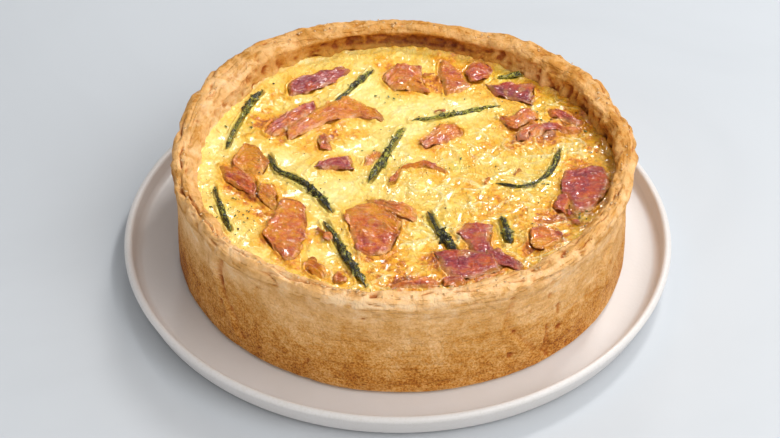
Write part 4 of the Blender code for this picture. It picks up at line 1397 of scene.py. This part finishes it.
def build_custard(settings):
    """A square grid is pressed to a disc: u times the square root of one less half v squared, and the same with
    u and v changed over. Its height is the baked level with curds, pools and strands of cheese on top."""
    side = 301
    u, v = np.meshgrid(np.linspace(-1, 1, side), np.linspace(-1, 1, side))
    disc_x, disc_y = u * np.sqrt(1 - v**2 / 2), v * np.sqrt(1 - u**2 / 2)
    angle, share = np.arctan2(disc_y, disc_x), np.hypot(disc_x, disc_y)
    radius = share * (inner_radius(angle) + 0.35)
    x, y = radius * np.cos(angle), radius * np.sin(angle)
    raster, cell, reach = cheese_strands(settings)
    strand = sample(raster, cell, reach, x, y) * (0.3 + 0.7 * ease(-30, 50, x - 0.7 * y))
    ham_cover = covered(ham_outlines(), cell, reach)
    spear_cover = covered(spear_outlines(), cell, reach)
    near_ham = sample(blurred(ham_cover, 4.0 / cell), cell, reach, x, y)
    at_ham_edge = sample(blurred(ham_cover, 0.9 / cell), cell, reach, x, y)
    near_spear = sample(blurred(spear_cover, 1.6 / cell), cell, reach, x, y)
    at_spear_edge = sample(blurred(spear_cover, 0.6 / cell), cell, reach, x, y)
    pools = spots(x, y, [(*pool, 1.0) for pool in PALE_POOLS])
    brown = spots(x, y, BROWNED)
    ground = flat_points(x, y)
    rough = 1 - 0.8 * pools
    swells = 0.55 * layered_noise(ground, 15.0, 2, 41)
    curds = 0.65 * layered_noise(ground, 8.0, 2, 42) * rough
    blisters = 0.7 * ease(0.3, 0.7, soft_noise(ground, 3.4, 43)) * (0.4 + brown)
    collar = ease(5.0, 0.0, (1 - share) * RIM_INNER)
    edge = 0.9 * collar * layered_noise(ground, 6.0, 2, 44)
    climb = ease(3.2, 0.0, (1 - share) * RIM_INNER) * ease(-0.5, 0.6, layered_noise(ground, 9.0, 3, 47))
    edge += 1.8 * climb
    brown += 0.35 * climb * near_angle(angle, 70, 80)
    # Painted glow: browner gold near the crust at the right-back, standing in for light through the custard.
    brown += 0.30 * ease(17, 2, (1 - share) * RIM_INNER) * near_angle(angle, 28, 38)
    strand_relief = 0.8 * strand * rough
    lapping = ease(0.05, 0.30, at_ham_edge) * ease(0.75, 0.45, at_ham_edge)
    lapping += ease(0.05, 0.3, at_spear_edge) * ease(0.8, 0.5, at_spear_edge)
    lapping *= np.clip(0.7 + 1.6 * layered_noise(ground, 4.5, 2, 46), 0, 2)
    sunk = -1.4 * np.clip(ease(0.7, 0.95, at_ham_edge) + ease(0.8, 1.0, at_spear_edge), 0, 1)
    relief = settings.relief * (swells + curds + blisters + edge + strand_relief + lapping) + sunk
    height = custard_level(x, y) + relief - 0.2
    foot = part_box("custard")[0].z / MM - QUICHE_PLACE[2]

    top = np.stack((x, y, height), axis=-1).reshape(-1, 3)
    i = np.arange(side)
    ring = np.concatenate((i[:-1], i[:-1] * side + side - 1, (side - 1) * side + i[:0:-1], i[:0:-1] * side))
    rings = [top[ring]]
    rings[0] = rings[0] * (1, 1, 0) + (0, 0, 44.0)
    rings.append(rings[0] * (0.995, 0.995, 0) + (0, 0, foot + 5.8))
    rings.append(rings[0] * (0.94, 0.94, 0) + (0, 0, foot))
    points = np.concatenate((top, *rings, ((0, 0, foot),)))
    first = side * side
    count = len(ring)
    loops = [ring] + [first + k * count + np.arange(count) for k in range(3)]
    quads = np.concatenate([grid_quads(side, side)] + [border_quads(b, a) for a, b in zip(loops, loops[1:])])
    triangles = fan(loops[-1][::-1], len(points) - 1)

    # Pale strand tops, partly a painted highlight, and pale patches at the crust's edge.
    whitish = np.clip(strand - 0.28, 0, 1) * 1.5 + 0.25 * collar * ease(0.0, 0.5, soft_noise(ground, 9.0, 45))
    rich_and_glow = (1 - pools) * (0.45 + 0.55 * ease(-20, 60, x - 0.7 * y))
    # Painted glow: richer gold at the edge near the right-back rim, standing in for light through the custard.
    rich_and_glow += 0.9 * ease(22, 2, (1 - share) * RIM_INNER) * near_angle(angle, 45, 36)
    fill = np.zeros(3 * count + 1)
    values = {
        "brown": np.concatenate((np.clip(brown * (1 + 0.4 * curds), 0, 1).ravel(), fill)),
        "strand": np.concatenate((strand.ravel(), fill)),
        "green": np.concatenate((np.clip(spots(x, y, GREENED) + 0.5 * near_spear, 0, 1).ravel(), fill)),
        "stain": np.concatenate((np.clip(near_ham * 1.3, 0, 1).ravel(), fill)),
        "rich_and_glow": np.concatenate((rich_and_glow.ravel(), fill)),
        "whitish": np.concatenate((np.clip(whitish, 0, 1).ravel(), fill)),
    }
    material = make_custard_material(settings)
    piece = make_piece("custard_surface", points, quads, triangles, material, values)
    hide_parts("custard")


# ---------------------------------------------------------------- ham


def ham_sheet(name, shape, settings, material, seed):
    """A smooth sheet through a lattice of points, raised above the custard by their lift; it is wrinkled along
    its grain, ragged round its outline, thin at its edges and closed by a second sheet underneath."""
    lattice, cure_first, cure_last, wrinkling = shape
    lattice = np.array(lattice, float)
    rows, columns = 44, 60
    down, along = spline_weights(lattice.shape[0], rows), spline_weights(lattice.shape[1], columns)
    sheet = np.einsum("ri,ijk,cj->rck", down, lattice, along)
    x, y, lift = sheet[..., 0], sheet[..., 1], sheet[..., 2]
    v, u = np.meshgrid(np.linspace(0, 1, rows), np.linspace(0, 1, columns), indexing="ij")
    step_u = np.linalg.norm(np.gradient(sheet[..., :2], axis=1), axis=-1) * (columns - 1)
    step_v = np.linalg.norm(np.gradient(sheet[..., :2], axis=0), axis=-1) * (rows - 1)
    far_u, far_v = u * step_u.mean(), v * step_v.mean()
    inset = np.minimum(np.minimum(u, 1 - u) * step_u, np.minimum(v, 1 - v) * step_v)
    ground = flat_points(x, y)
    x = x + 2.2 * layered_noise(ground, 5.5, 4, seed) * ease(4, 0, inset)
    y = y + 2.2 * layered_noise(ground, 5.5, 4, seed + 7) * ease(4, 0, inset)
    ground = flat_points(x, y)

    strip = np.stack((far_u * 0.30, far_v, 0 * u + seed), axis=-1)
    warped = strip + 1.2 * np.stack([soft_noise(strip, 6.0, seed + k) for k in (1, 2, 3)], axis=-1)
    folds = 1 - 2.2 * np.abs(layered_noise(warped, 3.4, 3, seed + 4))
    bubbles = layered_noise(ground, 4.0, 3, seed + 5)
    wrinkles = settings.wrinkles * ((0.15 + wrinkling) * 2.2 * folds + 0.45 * bubbles)
    free = ease(0.0, 1.2, inset) * 0.7 + 0.3
    tucked = ease(-0.4, 0.3, layered_noise(ground, 7.0, 2, seed + 8))
    reach = min(2.6, 0.8 * inset.max())
    dip = (2.1 * tucked - 0.9) * ease(reach, 0.0, inset)
    height = custard_level(x, y) + 0.25 + 0.95 * lift + wrinkles * free - dip
    top = np.stack((x, y, height), axis=-1)
    thickness = settings.thickness / MM * (0.25 + 0.75 * ease(0, 2.0, inset))
    bottom = top - np.stack((0 * x, 0 * x, thickness), axis=-1)
    points = np.concatenate((top.reshape(-1, 3), bottom.reshape(-1, 3)))

    cure = cure_first + (cure_last - cure_first) * v + 0.10 * layered_noise(ground, 7.0, 2, seed + 6)
    edge = ease(1.6, 0.0, inset) * (1 - tucked) + 0.45 * ease(0.4, 1.0, folds) * wrinkling
    veil = ease(1.5 * reach, 0.0, inset) * tucked + 0.5 * ease(0.35, 0.8, layered_noise(ground, 5.0, 2, seed + 10))
    grain = np.stack((far_u, far_v, 0 * u + 9.0 * seed), axis=-1).reshape(-1, 3)
    values = {
        "cure": np.tile(cure.ravel(), 2),
        "edge": np.tile(np.clip(edge, 0, 1).ravel(), 2),
        "veil": np.tile(np.clip(veil, 0, 1).ravel(), 2),
        "fold": np.tile(np.clip(folds, -1, 1).ravel(), 2),
        "grain": np.concatenate((grain, grain)),
    }
    return make_piece(name, points, sheet_faces(rows, columns), None, material, values)


# ---------------------------------------------------------------- asparagus


def spear_path(points, samples):
    """A smooth curve through the points of a spear, with the direction across it."""
    path = spline_weights(len(points), samples) @ np.array(points, float)
    along = np.gradient(path, axis=0)
    along /= np.linalg.norm(along, axis=1, keepdims=True)
    return path, np.stack((-along[:, 1], along[:, 0]), axis=1)


def build_spear(name, shape, settings, material, seed):
    """A flattened tube along a curve: an even ribbed stem that swells into a bud of overlapping leaves, each a
    raised scale whose height grows along the spear and drops at its tip, and then narrows to a point."""
    points, stem, bud, fresh = shape
    samples, sides = 180, 36
    path, across = spear_path(points, samples)
    t = np.linspace(0, 1, samples)[:, None]
    length = np.linalg.norm(np.diff(path, axis=0), axis=1).sum()
    turn = np.arange(sides)[None, :] * math.tau / sides
    swell = np.where(t > 0.45, np.sin(math.pi * np.clip((t - 0.45) / 0.5, 0, 1)), 0) ** 0.8
    point = ease(1.0, 0.90, t) * 0.85 + 0.15
    width = (0.78 * stem + (bud - stem) * swell) * point * ease(-0.03, 0.12, t)
    where = np.stack((t * length + 0 * turn, 2.0 * np.cos(turn) + 0 * t, 2.0 * np.sin(turn) + 0 * t), axis=-1)
    where = where + seed * 13.7
    ribs = 0.15 * np.cos(5 * turn + 4.0 * soft_noise(where, 9.0, seed))
    lumps = 0.55 * layered_noise(where * (0.7, 1, 1), 2.0, 3, seed + 1)
    crown = ease(0.42, 0.56, t)
    along_rows = t * length / 3.8 + 0.8 * soft_noise(where, 6.0, seed + 5)
    row = np.floor(along_rows)
    climb = along_rows - row
    turned = turn / math.tau * 3 + 0.5 * (row % 2) + 0.15 * np.sin(3.7 * row)
    beside = turned % 1.0 - 0.5
    leaf = np.clip(1 - (beside / (0.52 * (1.04 - climb) ** 0.5)) ** 2, 0, 1)
    scales = climb**1.8 * leaf**0.6
    opened = np.sin(12.99 * row + 78.23 * np.floor(turned) + seed) * 437.585 % 1.0
    leaves = crown * (0.10 + 1.45 * opened) * (scales - 0.2)
    leaves += (1 - crown) * 0.16 * scales * (np.sin(2.1 * row) > 0.5) + crown * 0.35 * layered_noise(where, 1.3, 2, seed + 9)
    swollen = 1 + ribs * (1 - crown) + lumps + leaves * settings.scales
    half = 0.44 * width * swollen
    sway = settings.sway * soft_noise(where[:, :1] * (1, 0, 0), 7.0, seed + 2)
    x = path[:, :1] + across[:, :1] * (np.cos(turn) * half + sway)
    y = path[:, 1:] + across[:, 1:] * (np.cos(turn) * half + sway)
    level = custard_level(path[:, :1], path[:, 1:])
    rise = 0.30 + width * (SPEAR_FLATTENING - 0.42) + 0.35 * soft_noise(where[:, :1] * (1, 0, 0), 9.0, seed + 3)
    height = level + rise - 0.9 * ease(0.22, 0.0, t) + 0.85 * np.sin(turn) * half
    grid = np.stack((x, y, height), axis=-1)
    ends = grid[[0, -1]].mean(axis=1)
    quads, triangles = turned_faces(samples, sides)
    everything = np.concatenate((grid.reshape(-1, 3), ends))
    grain = np.stack((t * length + 0 * turn, 1.6 * np.cos(turn) + 0 * t, 1.6 * np.sin(turn) + 0 * t), axis=-1)
    cheesed = ease(0.35, 0.62, layered_noise(where * (0.7, 1, 1), 4.0, 3, seed + 4)) * ease(1.0, 0.2, t + 0 * turn)
    values = {
        "fresh": np.full(len(everything), fresh),
        # Scale tips lighter and their bases darker, partly a painted highlight and painted shade.
        "crown": np.concatenate((((0.3 + 0.7 * crown) * (scales - 0.3)).ravel(), (0, 0))),
        "cheesed": np.concatenate(((settings.cheese * cheesed).ravel(), (0, 0))),
        "grain": np.concatenate((grain.reshape(-1, 3) + 31 * seed, ends)),
    }
    piece = make_piece(f"{name}_spear", everything, quads, triangles, material, values)
    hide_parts(name)


# ---------------------------------------------------------------- small bits


def lump_shape(rings, sides):
    """A closed ball of unit radius as a grid of points (sine and cosine of two angles) with its two poles."""
    tilt = (np.arange(rings) + 1)[:, None] * math.pi / (rings + 1)
    turn = np.arange(sides)[None, :] * math.tau / sides
    grid = np.stack((np.sin(tilt) * np.cos(turn), np.sin(tilt) * np.sin(turn), np.cos(tilt) + 0 * turn), axis=-1)
    quads, triangles = turned_faces(rings, sides)
    return np.concatenate((grid.reshape(-1, 3), ((0, 0, 1), (0, 0, -1)))), quads, triangles


def scatter(name, centres, sizes, stretch, material, seed, rings=6, sides=9, roughness=0.3):
    """Many small uneven lumps in one piece: a unit ball is stretched, turned, dented by noise and moved to
    each centre at once."""
    ball, quads, triangles = lump_shape(rings, sides)
    random = np.random.default_rng(seed)
    count = len(centres)
    turn = random.random(count) * math.tau
    dents = layered_noise(ball[None] * 1.3 + random.random((count, 1, 3)) * 90, 1.0, 2, seed)
    shape = ball[None] * (1 + roughness * dents)[..., None]
    shape = shape * (np.array(stretch) * sizes[:, None])[:, None, :]
    cos, sin = np.cos(turn)[:, None], np.sin(turn)[:, None]
    x = shape[..., 0] * cos - shape[..., 1] * sin
    y = shape[..., 0] * sin + shape[..., 1] * cos
    points = np.stack((x, y, shape[..., 2]), axis=-1) + centres[:, None, :]
    offsets = (np.arange(count) * len(ball))[:, None, None]
    return make_piece(
        name,
        points.reshape(-1, 3),
        (quads[None] + offsets).reshape(-1, 4),
        (triangles[None] + offsets).reshape(-1, 3),
        material,
    )


def build_seasoning(settings):
    """Ground pepper scattered over the custard, closer together at the left edge, with flecks of green herb."""
    random = np.random.default_rng(settings.seed)
    count = settings.pepper
    distance, turn = 101 * np.sqrt(random.random(count)), random.random(count) * math.tau
    x, y = distance * np.cos(turn), distance * np.sin(turn)
    dense = np.arange(count) < count // 4
    x = np.where(dense, random.normal(-82, 9, count), x)
    y = np.where(dense, random.normal(-44, 10, count), y)
    inside = np.hypot(x, y) < 101
    x, y = x[inside], y[inside]
    sizes = random.uniform(0.14, 0.42, len(x)) * np.where(random.random(len(x)) < 0.1, 1.5, 1.0)
    centres = flat_points(x, y, custard_level(x, y) + 0.65)
    dark = make_simple("Ground pepper", (0.012, 0.008, 0.006), (0.10, 0.055, 0.03), 0.5, 0.6, 0.1)
    scatter("pepper", centres, sizes, (1.0, 0.8, 0.6), dark, 3)

    count = settings.herbs
    picks = random.integers(0, len(GREENED), count)
    anchors = np.array(GREENED)[picks]
    x = anchors[:, 0] + random.normal(0, 1, count) * anchors[:, 2]
    y = anchors[:, 1] + random.normal(0, 1, count) * anchors[:, 2]
    inside = np.hypot(x, y) < 101
    x, y = x[inside], y[inside]
    sizes = random.uniform(0.25, 0.9, len(x))
    centres = flat_points(x, y, custard_level(x, y) + 0.6)
    leaf = make_simple("Flecks of green", (0.05, 0.075, 0.012), (0.22, 0.28, 0.04), 0.8, 0.5, 0.1, 0.3)
    scatter("green_flecks", centres, sizes, (1.3, 0.6, 0.35), leaf, 4)


def build_crumbs(settings):
    """Crumbs and loose flakes of pastry on the rim."""
    random = np.random.default_rng(settings.crumb_seed)
    count = settings.crumbs
    angle = random.random(count) * math.tau
    share = random.random(count)
    inner = (inner_radius(angle) + RIM_INNER) / 2 + 3.0
    outer = TIN_RADIUS + RIM_OVERHANG + wander(angle, LIP_WANDER) - 3.0
    radius = inner + (outer - inner) * share
    height = CRUST_HEIGHT + wander(angle, TOP_WANDER) - 0.6
    height = np.minimum(height, CRUST_TOP - 1.0)
    centres = np.stack((radius * np.cos(angle), radius * np.sin(angle), height), axis=-1)
    sizes = random.uniform(0.25, 0.75, count)
    pastry = make_simple("Loose pastry crumbs", (0.62, 0.34, 0.12), (0.86, 0.60, 0.32), 0.9, 0.65, 0.2)
    scatter("rim_crumbs", centres, sizes, (1.4, 0.9, 0.5), pastry, 6)


def build_scraps(settings, material):
    """Small torn bits of ham, each a little folded lattice of its own."""
    for index, (x, y, size, degrees, cure) in enumerate(HAM_SCRAPS):
        turn = math.radians(degrees)
        lattice = []
        for v in (-0.5, 0.0, 0.5):
            row = []
            for u in (-0.6, -0.2, 0.2, 0.6):
                wobble = 0.12 * math.sin(7.0 * index + 5.0 * u + 3.0 * v)
                far_u, far_v = size * (u + wobble), size * (v * 0.5 - 1.4 * wobble)
                lift = 0.5 + (1.0 if v == 0 else 0.0) * (1 - abs(u))
                place_x = x + far_u * math.cos(turn) - far_v * math.sin(turn)
                place_y = y + far_u * math.sin(turn) + far_v * math.cos(turn)
                row.append((place_x, place_y, lift))
            lattice.append(tuple(row))
        shape = (tuple(lattice), cure, cure, 0.2)
        ham_sheet(f"ham_scrap_{index + 1}", shape, settings, material, 700 + 11 * index)


# ---------------------------------------------------------------- stage


def build_floor(settings):
    """A wide flat pale table top under the plate."""
    mesh = bpy.data.meshes.new("table_top")
    reach = 3.0
    corners = [(-reach, -reach, 0), (reach, -reach, 0), (reach, reach, 0), (-reach, reach, 0)]
    mesh.from_pydata(corners, [], [(0, 1, 2, 3)])
    material, graph, shader = begin_material("Pale honed stone")
    place = graph.millimetres()
    cloud = graph.noise(place, 240.0, 4.0, 0.6, 0.8)
    tint = tuple(settings.floor_tint)
    colour = graph.blend(graph.span(cloud, 0.35, 0.7), (*tint, 1.0), (*(0.95 * part for part in tint), 1.0))
    normal = graph.bump(graph.noise(place, 3.0, 2.0, 0.5), 0.02)
    graph.wire(shader, {"Base Color": colour, "Roughness": 0.5, "Normal": normal, "Specular IOR Level": 0.25})
    mesh.materials.append(material)
    floor = bpy.data.objects.new("table_top", mesh)
    bpy.context.scene.collection.objects.link(floor)


def aim(azimuth, elevation, distance):
    """A place seen from the quiche's middle in a direction, and the turn that faces back from it."""
    turn, tilt = math.radians(azimuth), math.radians(elevation)
    across = distance * math.cos(tilt)
    location = (across * math.cos(turn), across * math.sin(turn), distance * math.sin(tilt) + 0.03)
    return location, (0.0, math.pi / 2 - tilt, turn)


def add_light(name, azimuth, elevation, distance, size, energy, colour):
    """A wide soft rectangular light facing the quiche."""
    lamp = bpy.data.lights.new(name, "AREA")
    lamp.shape = "RECTANGLE"
    lamp.size, lamp.size_y = size
    lamp.energy = energy
    lamp.color = colour
    light = bpy.data.objects.new(name, lamp)
    location, turn = aim(azimuth, elevation, distance)
    light.location = location
    light.rotation_euler = turn
    bpy.context.scene.collection.objects.link(light)


def build_stage(settings):
    scene = bpy.context.scene
    build_floor(settings)
    add_light(
        "window", settings.window_azimuth, settings.window_elevation, 1.6, (1.3, 2.4), settings.window_energy,
        (0.94, 0.97, 1.0),
    )
    add_light("glint_window", 98, 43, 1.6, (0.12, 0.12), 0.13 * settings.back_energy, (1.0, 1.0, 1.0))
    add_light("back_window", 58, 50, 1.6, (0.26, 0.26), settings.back_energy, (1.0, 0.99, 0.97))
    add_light("front_fill", -50, 40, 1.6, (1.2, 1.6), settings.fill_energy, (1.0, 0.965, 0.92))
    add_light("left_fill", -140, 12, 1.6, (0.8, 1.6), 0.38 * settings.fill_energy, (1.0, 0.96, 0.92))
    world = bpy.data.worlds.new("Studio")
    world.use_nodes = True
    background = world.node_tree.nodes["Background"]
    background.inputs["Color"].default_value = (0.97, 0.985, 1.0, 1.0)
    background.inputs["Strength"].default_value = settings.ambient
    scene.world = world
    scene.view_settings.view_transform = "Standard"

    lens = bpy.data.cameras.new("camera")
    lens.lens = 83.08
    lens.sensor_width = 36.0
    camera = bpy.data.objects.new("camera", lens)
    camera.location = (-0.004, -0.71346, 0.61040)
    camera.rotation_euler = (math.radians(90 - 39.68), 0.0, 0.0)
    scene.collection.objects.link(camera)
    scene.camera = camera


# ---------------------------------------------------------------- settings, operators and panel


class PlateSettings(bpy.types.PropertyGroup):
    tint: FloatVectorProperty(
        name="Tint", description="Colour of the glaze", default=(0.69, 0.665, 0.655), subtype="COLOR"
    )
    waver: FloatProperty(
        name="Waver", description="How far the thrown rim strays from round", default=0.00004, unit="LENGTH"
    )


class CrustSettings(bpy.types.PropertyGroup):
    relief: FloatProperty(
        name="Relief", description="Strength of the folds, leaves and cracks", default=1.0, subtype="FACTOR"
    )
    grain: FloatProperty(name="Grain", description="Depth of the fine crumb", default=1.0, subtype="FACTOR")
    toasting: FloatProperty(
        name="Toasting", description="How far the crust has browned", default=1.0, subtype="FACTOR"
    )
    crumbs: IntProperty(name="Crumbs", description="Loose crumbs on the rim", default=260, subtype="UNSIGNED")
    crumb_seed: IntProperty(name="Crumb seed", description="Arrangement of the crumbs", default=8)


class CustardSettings(bpy.types.PropertyGroup):
    relief: FloatProperty(
        name="Relief", description="Strength of the curds and strands", default=1.0, subtype="FACTOR"
    )
    browning: FloatProperty(
        name="Browning", description="Strength of the toasted patches", default=1.0, subtype="FACTOR"
    )
    oil: FloatProperty(name="Oil", description="Share of the top that is wet", default=1.0, subtype="FACTOR")
    strands: IntProperty(
        name="Strands", description="How many cheese strands melted on top", default=640, subtype="UNSIGNED"
    )
    seed: IntProperty(name="Seed", description="Arrangement of the strands", default=12)


class HamSettings(bpy.types.PropertyGroup):
    thickness: FloatProperty(
        name="Thickness", description="Thickness of one slice", default=0.0005, unit="LENGTH"
    )
    wrinkles: FloatProperty(
        name="Wrinkles", description="Strength of the wrinkles along the grain", default=1.0, subtype="FACTOR"
    )
    crisping: FloatProperty(
        name="Crisping", description="How far the edges have crisped", default=1.0, subtype="FACTOR"
    )
    gloss: FloatProperty(name="Gloss", description="Share of the ham that is oily", default=1.0, subtype="FACTOR")


class AsparagusSettings(bpy.types.PropertyGroup):
    scales: FloatProperty(
        name="Scales", description="How far the leaves of the bud stand out", default=1.0, subtype="FACTOR"
    )
    sway: FloatProperty(
        name="Sway", description="How far a spear strays from its curve, in millimetres", default=0.5
    )
    cheese: FloatProperty(
        name="Cheese", description="How much melted cheese covers the stems", default=0.8, subtype="FACTOR"
    )
    gloss: FloatProperty(name="Gloss", description="Share of a spear that is oily", default=0.7, subtype="FACTOR")


class SeasoningSettings(bpy.types.PropertyGroup):
    pepper: IntProperty(name="Pepper", description="Grains of ground pepper", default=210, subtype="UNSIGNED")
    herbs: IntProperty(name="Green flecks", description="Flecks of green", default=90, subtype="UNSIGNED")
    seed: IntProperty(name="Seed", description="Arrangement of the seasoning", default=5)


class StageSettings(bpy.types.PropertyGroup):
    floor_tint: FloatVectorProperty(
        name="Floor tint", description="Colour of the table top", default=(0.555, 0.580, 0.610), subtype="COLOR"
    )
    window_azimuth: FloatProperty(
        name="Window azimuth", description="Direction of the main light, in degrees from +X", default=0.0
    )
    window_elevation: FloatProperty(
        name="Window elevation", description="Height of the main light, in degrees", default=52.0
    )
    window_energy: FloatProperty(
        name="Window power", description="Power of the main light", default=18.5, unit="POWER"
    )
    fill_energy: FloatProperty(
        name="Fill power", description="Power of the front fill light", default=13.5, unit="POWER"
    )
    back_energy: FloatProperty(
        name="Back window power", description="Power of the small light behind", default=9.5, unit="POWER"
    )
    ambient: FloatProperty(name="Ambient", description="Strength of the light all round", default=0.30)


class QuicheSettings(bpy.types.PropertyGroup):
    plate: PointerProperty(name="Plate", description="Settings of the plate", type=PlateSettings)
    crust: PointerProperty(name="Crust", description="Settings of the crust", type=CrustSettings)
    custard: PointerProperty(name="Custard", description="Settings of the custard", type=CustardSettings)
    ham: PointerProperty(name="Ham", description="Settings of the ham", type=HamSettings)
    asparagus: PointerProperty(
        name="Asparagus", description="Settings of the asparagus", type=AsparagusSettings
    )
    seasoning: PointerProperty(name="Seasoning", description="Settings of the seasoning", type=SeasoningSettings)
    stage: PointerProperty(name="Stage", description="Settings of the stage", type=StageSettings)


class QUICHE_OT_plate(bpy.types.Operator):
    """Build the stoneware plate"""

    bl_idname = "quiche.plate"
    bl_label = "Plate"

    def execute(self, context):
        build_plate(context.scene.quiche.plate)
        return {"FINISHED"}


class QUICHE_OT_crust(bpy.types.Operator):
    """Build the baked pastry case and its loose crumbs"""

    bl_idname = "quiche.crust"
    bl_label = "Crust"

    def execute(self, context):
        build_crust(context.scene.quiche.crust)
        build_crumbs(context.scene.quiche.crust)
        return {"FINISHED"}


class QUICHE_OT_custard(bpy.types.Operator):
    """Build the custard with its melted cheese top"""

    bl_idname = "quiche.custard"
    bl_label = "Custard"

    def execute(self, context):
        build_custard(context.scene.quiche.custard)
        return {"FINISHED"}


class QUICHE_OT_ham(bpy.types.Operator):
    """Build every slice and scrap of ham"""

    bl_idname = "quiche.ham"
    bl_label = "Ham"

    def execute(self, context):
        settings = context.scene.quiche.ham
        material = make_ham_material(settings)
        for index, (name, shape) in enumerate(HAM.items()):
            piece = ham_sheet(f"{name}_slice", shape, settings, material, 100 + 13 * index)
            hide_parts(name)
        build_scraps(settings, material)
        return {"FINISHED"}


class QUICHE_OT_asparagus(bpy.types.Operator):
    """Build every asparagus spear"""

    bl_idname = "quiche.asparagus"
    bl_label = "Asparagus"

    def execute(self, context):
        settings = context.scene.quiche.asparagus
        material = make_asparagus_material(settings)
        for index, (name, shape) in enumerate(SPEARS.items()):
            build_spear(name, shape, settings, material, 500 + 17 * index)
        return {"FINISHED"}


class QUICHE_OT_seasoning(bpy.types.Operator):
    """Scatter the pepper and the green flecks"""

    bl_idname = "quiche.seasoning"
    bl_label = "Seasoning"

    def execute(self, context):
        build_seasoning(context.scene.quiche.seasoning)
        return {"FINISHED"}


class QUICHE_OT_stage(bpy.types.Operator):
    """Set out the table top, the lights and the camera"""

    bl_idname = "quiche.stage"
    bl_label = "Stage"

    def execute(self, context):
        build_stage(context.scene.quiche.stage)
        return {"FINISHED"}


STEPS = (
    QUICHE_OT_plate,
    QUICHE_OT_crust,
    QUICHE_OT_custard,
    QUICHE_OT_ham,
    QUICHE_OT_asparagus,
    QUICHE_OT_seasoning,
    QUICHE_OT_stage,
)


class QUICHE_PT_panel(bpy.types.Panel):
    """Lists the quiche's settings, each group above the button that builds it"""

    bl_idname = "QUICHE_PT_panel"
    bl_label = "Quiche"
    bl_space_type = "VIEW_3D"
    bl_region_type = "UI"
    bl_category = "Quiche"

    def draw(self, context):
        settings = context.scene.quiche
        for step in STEPS:
            box = self.layout.box()
            group = getattr(settings, step.bl_idname.split(".")[1])
            for key in group.__annotations__:
                box.prop(group, key)
            box.operator(step.bl_idname)


CLASSES = (
    PlateSettings,
    CrustSettings,
    CustardSettings,
    HamSettings,
    AsparagusSettings,
    SeasoningSettings,
    StageSettings,
    QuicheSettings,
    *STEPS,
    QUICHE_PT_panel,
)


def register():
    for each in CLASSES:
        bpy.utils.register_class(each)
    bpy.types.Scene.quiche = PointerProperty(type=QuicheSettings)


def unregister():
    del bpy.types.Scene.quiche
    for each in reversed(CLASSES):
        bpy.utils.unregister_class(each)


def main():
    register()
    bpy.ops.quiche.plate()
    bpy.ops.quiche.crust()
    bpy.ops.quiche.custard()
    bpy.ops.quiche.ham()
    bpy.ops.quiche.asparagus()
    bpy.ops.quiche.seasoning()
    bpy.ops.quiche.stage()


if __name__ == "__main__":
    main()
